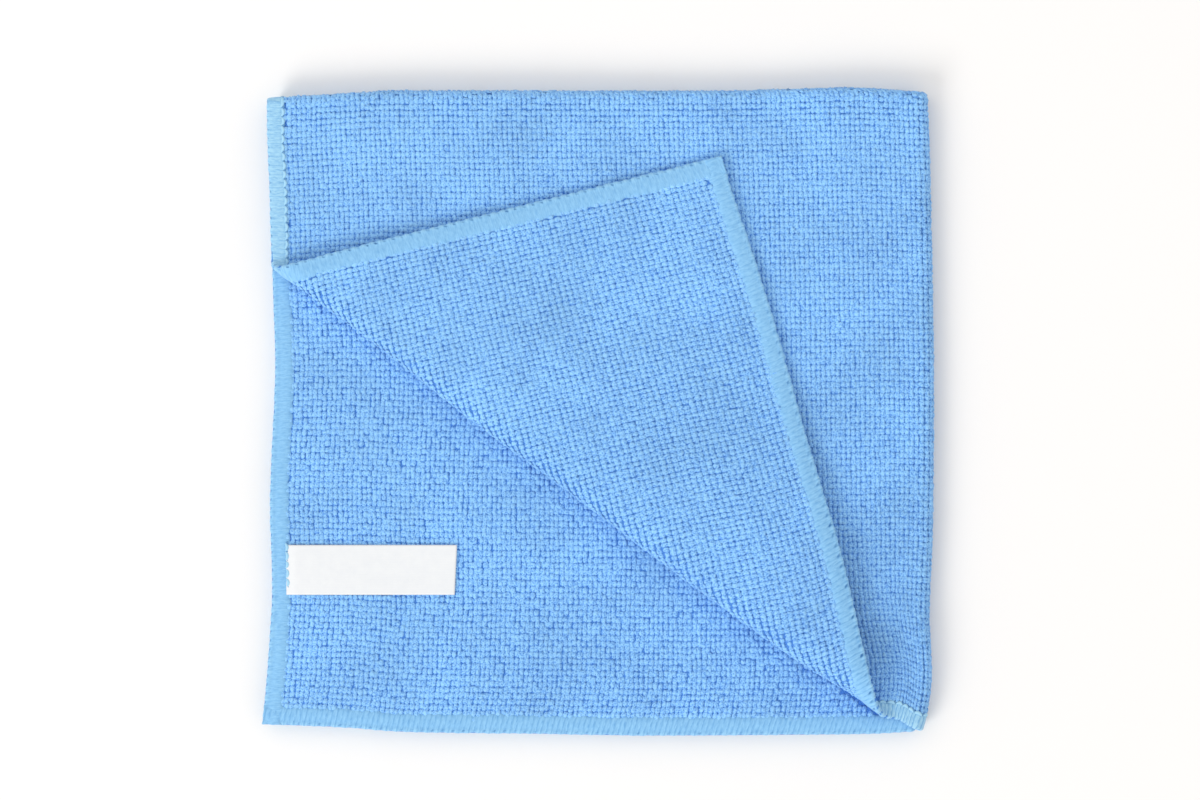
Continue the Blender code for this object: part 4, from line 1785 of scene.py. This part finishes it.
@dataclass(frozen=True)
class SewnLabel:
    """The short satin tape that is sewn in at the left edge of layer 3. It is bare."""

    form: FoldedForm
    left: float = -93.9
    right: float = -42.9
    top: float = -40.3
    bottom: float = -55.3
    skew: float = 0.7
    thickness: float = 0.34
    lift: float = 1.40
    # It dips by its sag where it is sewn in, over this share of its length.
    sag: float = 0.32
    sag_share: float = 0.06
    # It ripples a little: how high, how often over its length, and from what phase.
    ripple_height: float = 0.10
    ripple_rate: float = 5.2
    ripple_phase: float = 0.6
    # Its free end stands up a little: how high, from what share of its length on, and over what share.
    end_lift: float = 0.10
    end_start: float = 0.7
    end_share: float = 0.3
    cells_long: int = 96
    cells_wide: int = 30

    def surface(self, u: np.ndarray, v: np.ndarray) -> np.ndarray:
        """Place points at the middle of the tape.

        Args:
            u: The share of its length, from the sewn end.
            v: The share of its width, from the lower edge.

        Returns:
            The places, one row each.
        """
        x = self.left + u * (self.right - self.left) + (v - 0.5) * self.skew * u
        y = self.bottom + v * (self.top - self.bottom)
        layers_below = 2
        wave = self.form.top_wave(x, y) * layers_below / 3
        z = self.form.lowest_middle_z + layers_below * self.form.layer_pitch + wave + self.lift
        z = z - self.sag * (1.0 - eased(u / self.sag_share))
        ripple = self.ripple_height * np.sin(self.ripple_rate * u + self.ripple_phase) * np.sin(math.pi * v)
        z = z + ripple + self.end_lift * eased((u - self.end_start) / self.end_share)
        return np.stack((x, y, z), axis=-1)

    def build(self, finish: SatinTape) -> bpy.types.Object:
        """Lay the tape on layer 3 and dress it.

        Args:
            finish: The finish of the tape.

        Returns:
            The closed tape.
        """
        u, v = np.meshgrid(
            np.linspace(0.0, 1.0, self.cells_long + 1),
            np.linspace(0.0, 1.0, self.cells_wide + 1),
            indexing="ij",
        )
        middle = self.surface(u, v)
        half = np.array((0.0, 0.0, self.thickness / 2))
        number = np.arange(u.size).reshape(u.shape)
        low_left, low_right = number[:-1, :-1].ravel(), number[1:, :-1].ravel()
        high_left, high_right = number[:-1, 1:].ravel(), number[1:, 1:].ravel()
        upper = split_quads(low_left, low_right, high_right, high_left)
        rim = np.concatenate((number[:, 0], number[-1, 1:], number[-2::-1, -1], number[0, -2:0:-1]))
        rim_next = np.roll(rim, -1)
        sides = split_quads(rim + u.size, rim_next + u.size, rim_next, rim)
        faces = np.concatenate((upper, upper[:, ::-1] + u.size, sides))
        length, width = self.right - self.left, self.top - self.bottom
        place = np.stack((u * length, v * width, 0.0 * u), axis=-1).reshape(-1, 3)
        return mesh_object(
            "label_tape",
            np.concatenate(((middle + half).reshape(-1, 3), (middle - half).reshape(-1, 3))),
            faces,
            finish.make(),
            {"tape_place": np.concatenate((place, place))},
        )


@dataclass(frozen=True)
class Studio:
    """The camera, the pale floor and the soft light."""

    camera_place: tuple[float, float, float] = (0.00045, 0.0033, 1.0)
    lens: float = 99.03
    sensor_width: float = 36.0
    floor_size: float = 6.0
    # Each soft box: its place, its size and its power.
    soft_boxes: tuple = (
        ((-2.30, -2.50, 2.30), 1.8, 76.0),
        ((-0.35, 0.36, 0.80), 0.6, 0.7),
    )
    sky_strength: float = 0.82

    def place_camera(self) -> None:
        """Hang the camera over the cloth, looking straight down."""
        data = bpy.data.cameras.new("camera")
        data.lens = self.lens
        data.sensor_width = self.sensor_width
        camera = bpy.data.objects.new("camera", data)
        camera.location = self.camera_place
        bpy.context.collection.objects.link(camera)
        bpy.context.scene.camera = camera

    def lay_floor(self, finish: PaleFloor) -> None:
        """Lay the floor that the cloth rests on.

        Args:
            finish: The finish of the floor.
        """
        half = self.floor_size / 2 / MM
        corners = np.array(((-half, -half, 0.0), (half, -half, 0.0), (half, half, 0.0), (-half, half, 0.0)))
        floor = mesh_object("floor", corners, np.array(((0, 1, 2), (0, 2, 3))), finish.make())

    def light(self) -> None:
        """Light the cloth softly from all round, and a little more from its lower left and upper left."""
        for place, size, power in self.soft_boxes:
            data = bpy.data.lights.new("soft_box", "AREA")
            data.shape = "SQUARE"
            data.size = size
            data.energy = power
            box = bpy.data.objects.new("soft_box", data)
            box.location = place
            box.rotation_euler = (-Vector(place)).to_track_quat("-Z", "Y").to_euler()
            bpy.context.collection.objects.link(box)
        world = bpy.data.worlds.new("soft_light")
        world.use_nodes = True
        background = world.node_tree.nodes["Background"]
        background.inputs["Color"].default_value = linear_rgb("#FFFFFF")
        background.inputs["Strength"].default_value = self.sky_strength
        bpy.context.scene.world = world
        bpy.context.scene.view_settings.view_transform = "Standard"


def dress(item: bpy.types.Object) -> bpy.types.Object:
    """Let a piece ride on the cloth's body, and log how many triangles it has.

    Args:
        item: The piece.

    Returns:
        The same piece.
    """
    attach(item, BODY)
    log.info("%s: %d triangles", item.name, len(item.data.polygons))
    return item


def build_piles(form: FoldedForm) -> list[bpy.types.Object]:
    """Build the pile on every face that shows.

    Args:
        form: The folded form.

    Returns:
        The joined tufts, area by area.
    """
    fine = TuftShape(8, ((1.02, 0.28, 0.07), (0.72, 0.82, 0.12)))
    plain = TuftShape(6, ((1.0, 0.2, 0.05), (0.80, 0.80, 0.08)))
    material = MicrofibrePile().make()
    piles = (
        LoopPile(form, PileArea.TOP_LAYER, Side.OUTER, fine, wander=0.06, unevenness=0.07, seed=11),
        LoopPile(form, PileArea.TURNED_CORNER, Side.INNER, fine, seed=12),
        LoopPile(form, PileArea.THIRD_LAYER, Side.INNER, fine, wander=0.12, unevenness=0.09, seed=13),
        LoopPile(form, PileArea.UNDERSIDE_LEFT, Side.OUTER, plain, wander=0.10, seed=14),
        LoopPile(form, PileArea.UNDERSIDE_RIGHT, Side.OUTER, plain, wander=0.10, seed=15),
    )
    return [dress(pile.build(material)) for pile in piles]


def build_overlock(form: FoldedForm) -> list[bpy.types.Object]:
    """Build the stitching along the four edges.

    Args:
        form: The folded form.

    Returns:
        The bands and their needle stitches, edge by edge.
    """
    yarn = WoollyOverlock().make()
    thread = NeedleThread().make()
    # The seams end this far from the cloth's corners.
    margin = 5.0
    pieces = []
    for edge in Edge:
        band = OverlockedEdge(form, edge)
        end = band.half - margin
        seam = NeedleSeam(band, Side.OUTER, -end, end, f"needle_seam_{edge.value}")
        pieces.append(dress(band.build(yarn)))
        pieces.append(dress(seam.build(thread)))
    # The stitches that hold the label run over it, along the cloth's edge from 137.6 to 151.5 mm.
    over_label = NeedleSeam(
        OverlockedEdge(form, Edge.EAST), Side.INNER, 137.6, 151.5, "needle_seam_label", depth=5.0, lift=1.27
    )
    pieces.append(dress(over_label.build(thread)))
    return pieces


def main() -> None:
    """Build the studio and the cloth, piece by piece."""
    logging.basicConfig(level=logging.INFO, format="%(message)s")
    studio = Studio()
    studio.place_camera()
    form = FoldedForm()
    cloth = dress(GroundCloth(form).build(KnittedGround()))
    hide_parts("cloth")
    pieces = build_piles(form) + build_overlock(form)
    label = dress(SewnLabel(form).build(SatinTape()))
    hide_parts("label")
    studio.lay_floor(PaleFloor())
    studio.light()


if __name__ == "__main__":
    main()
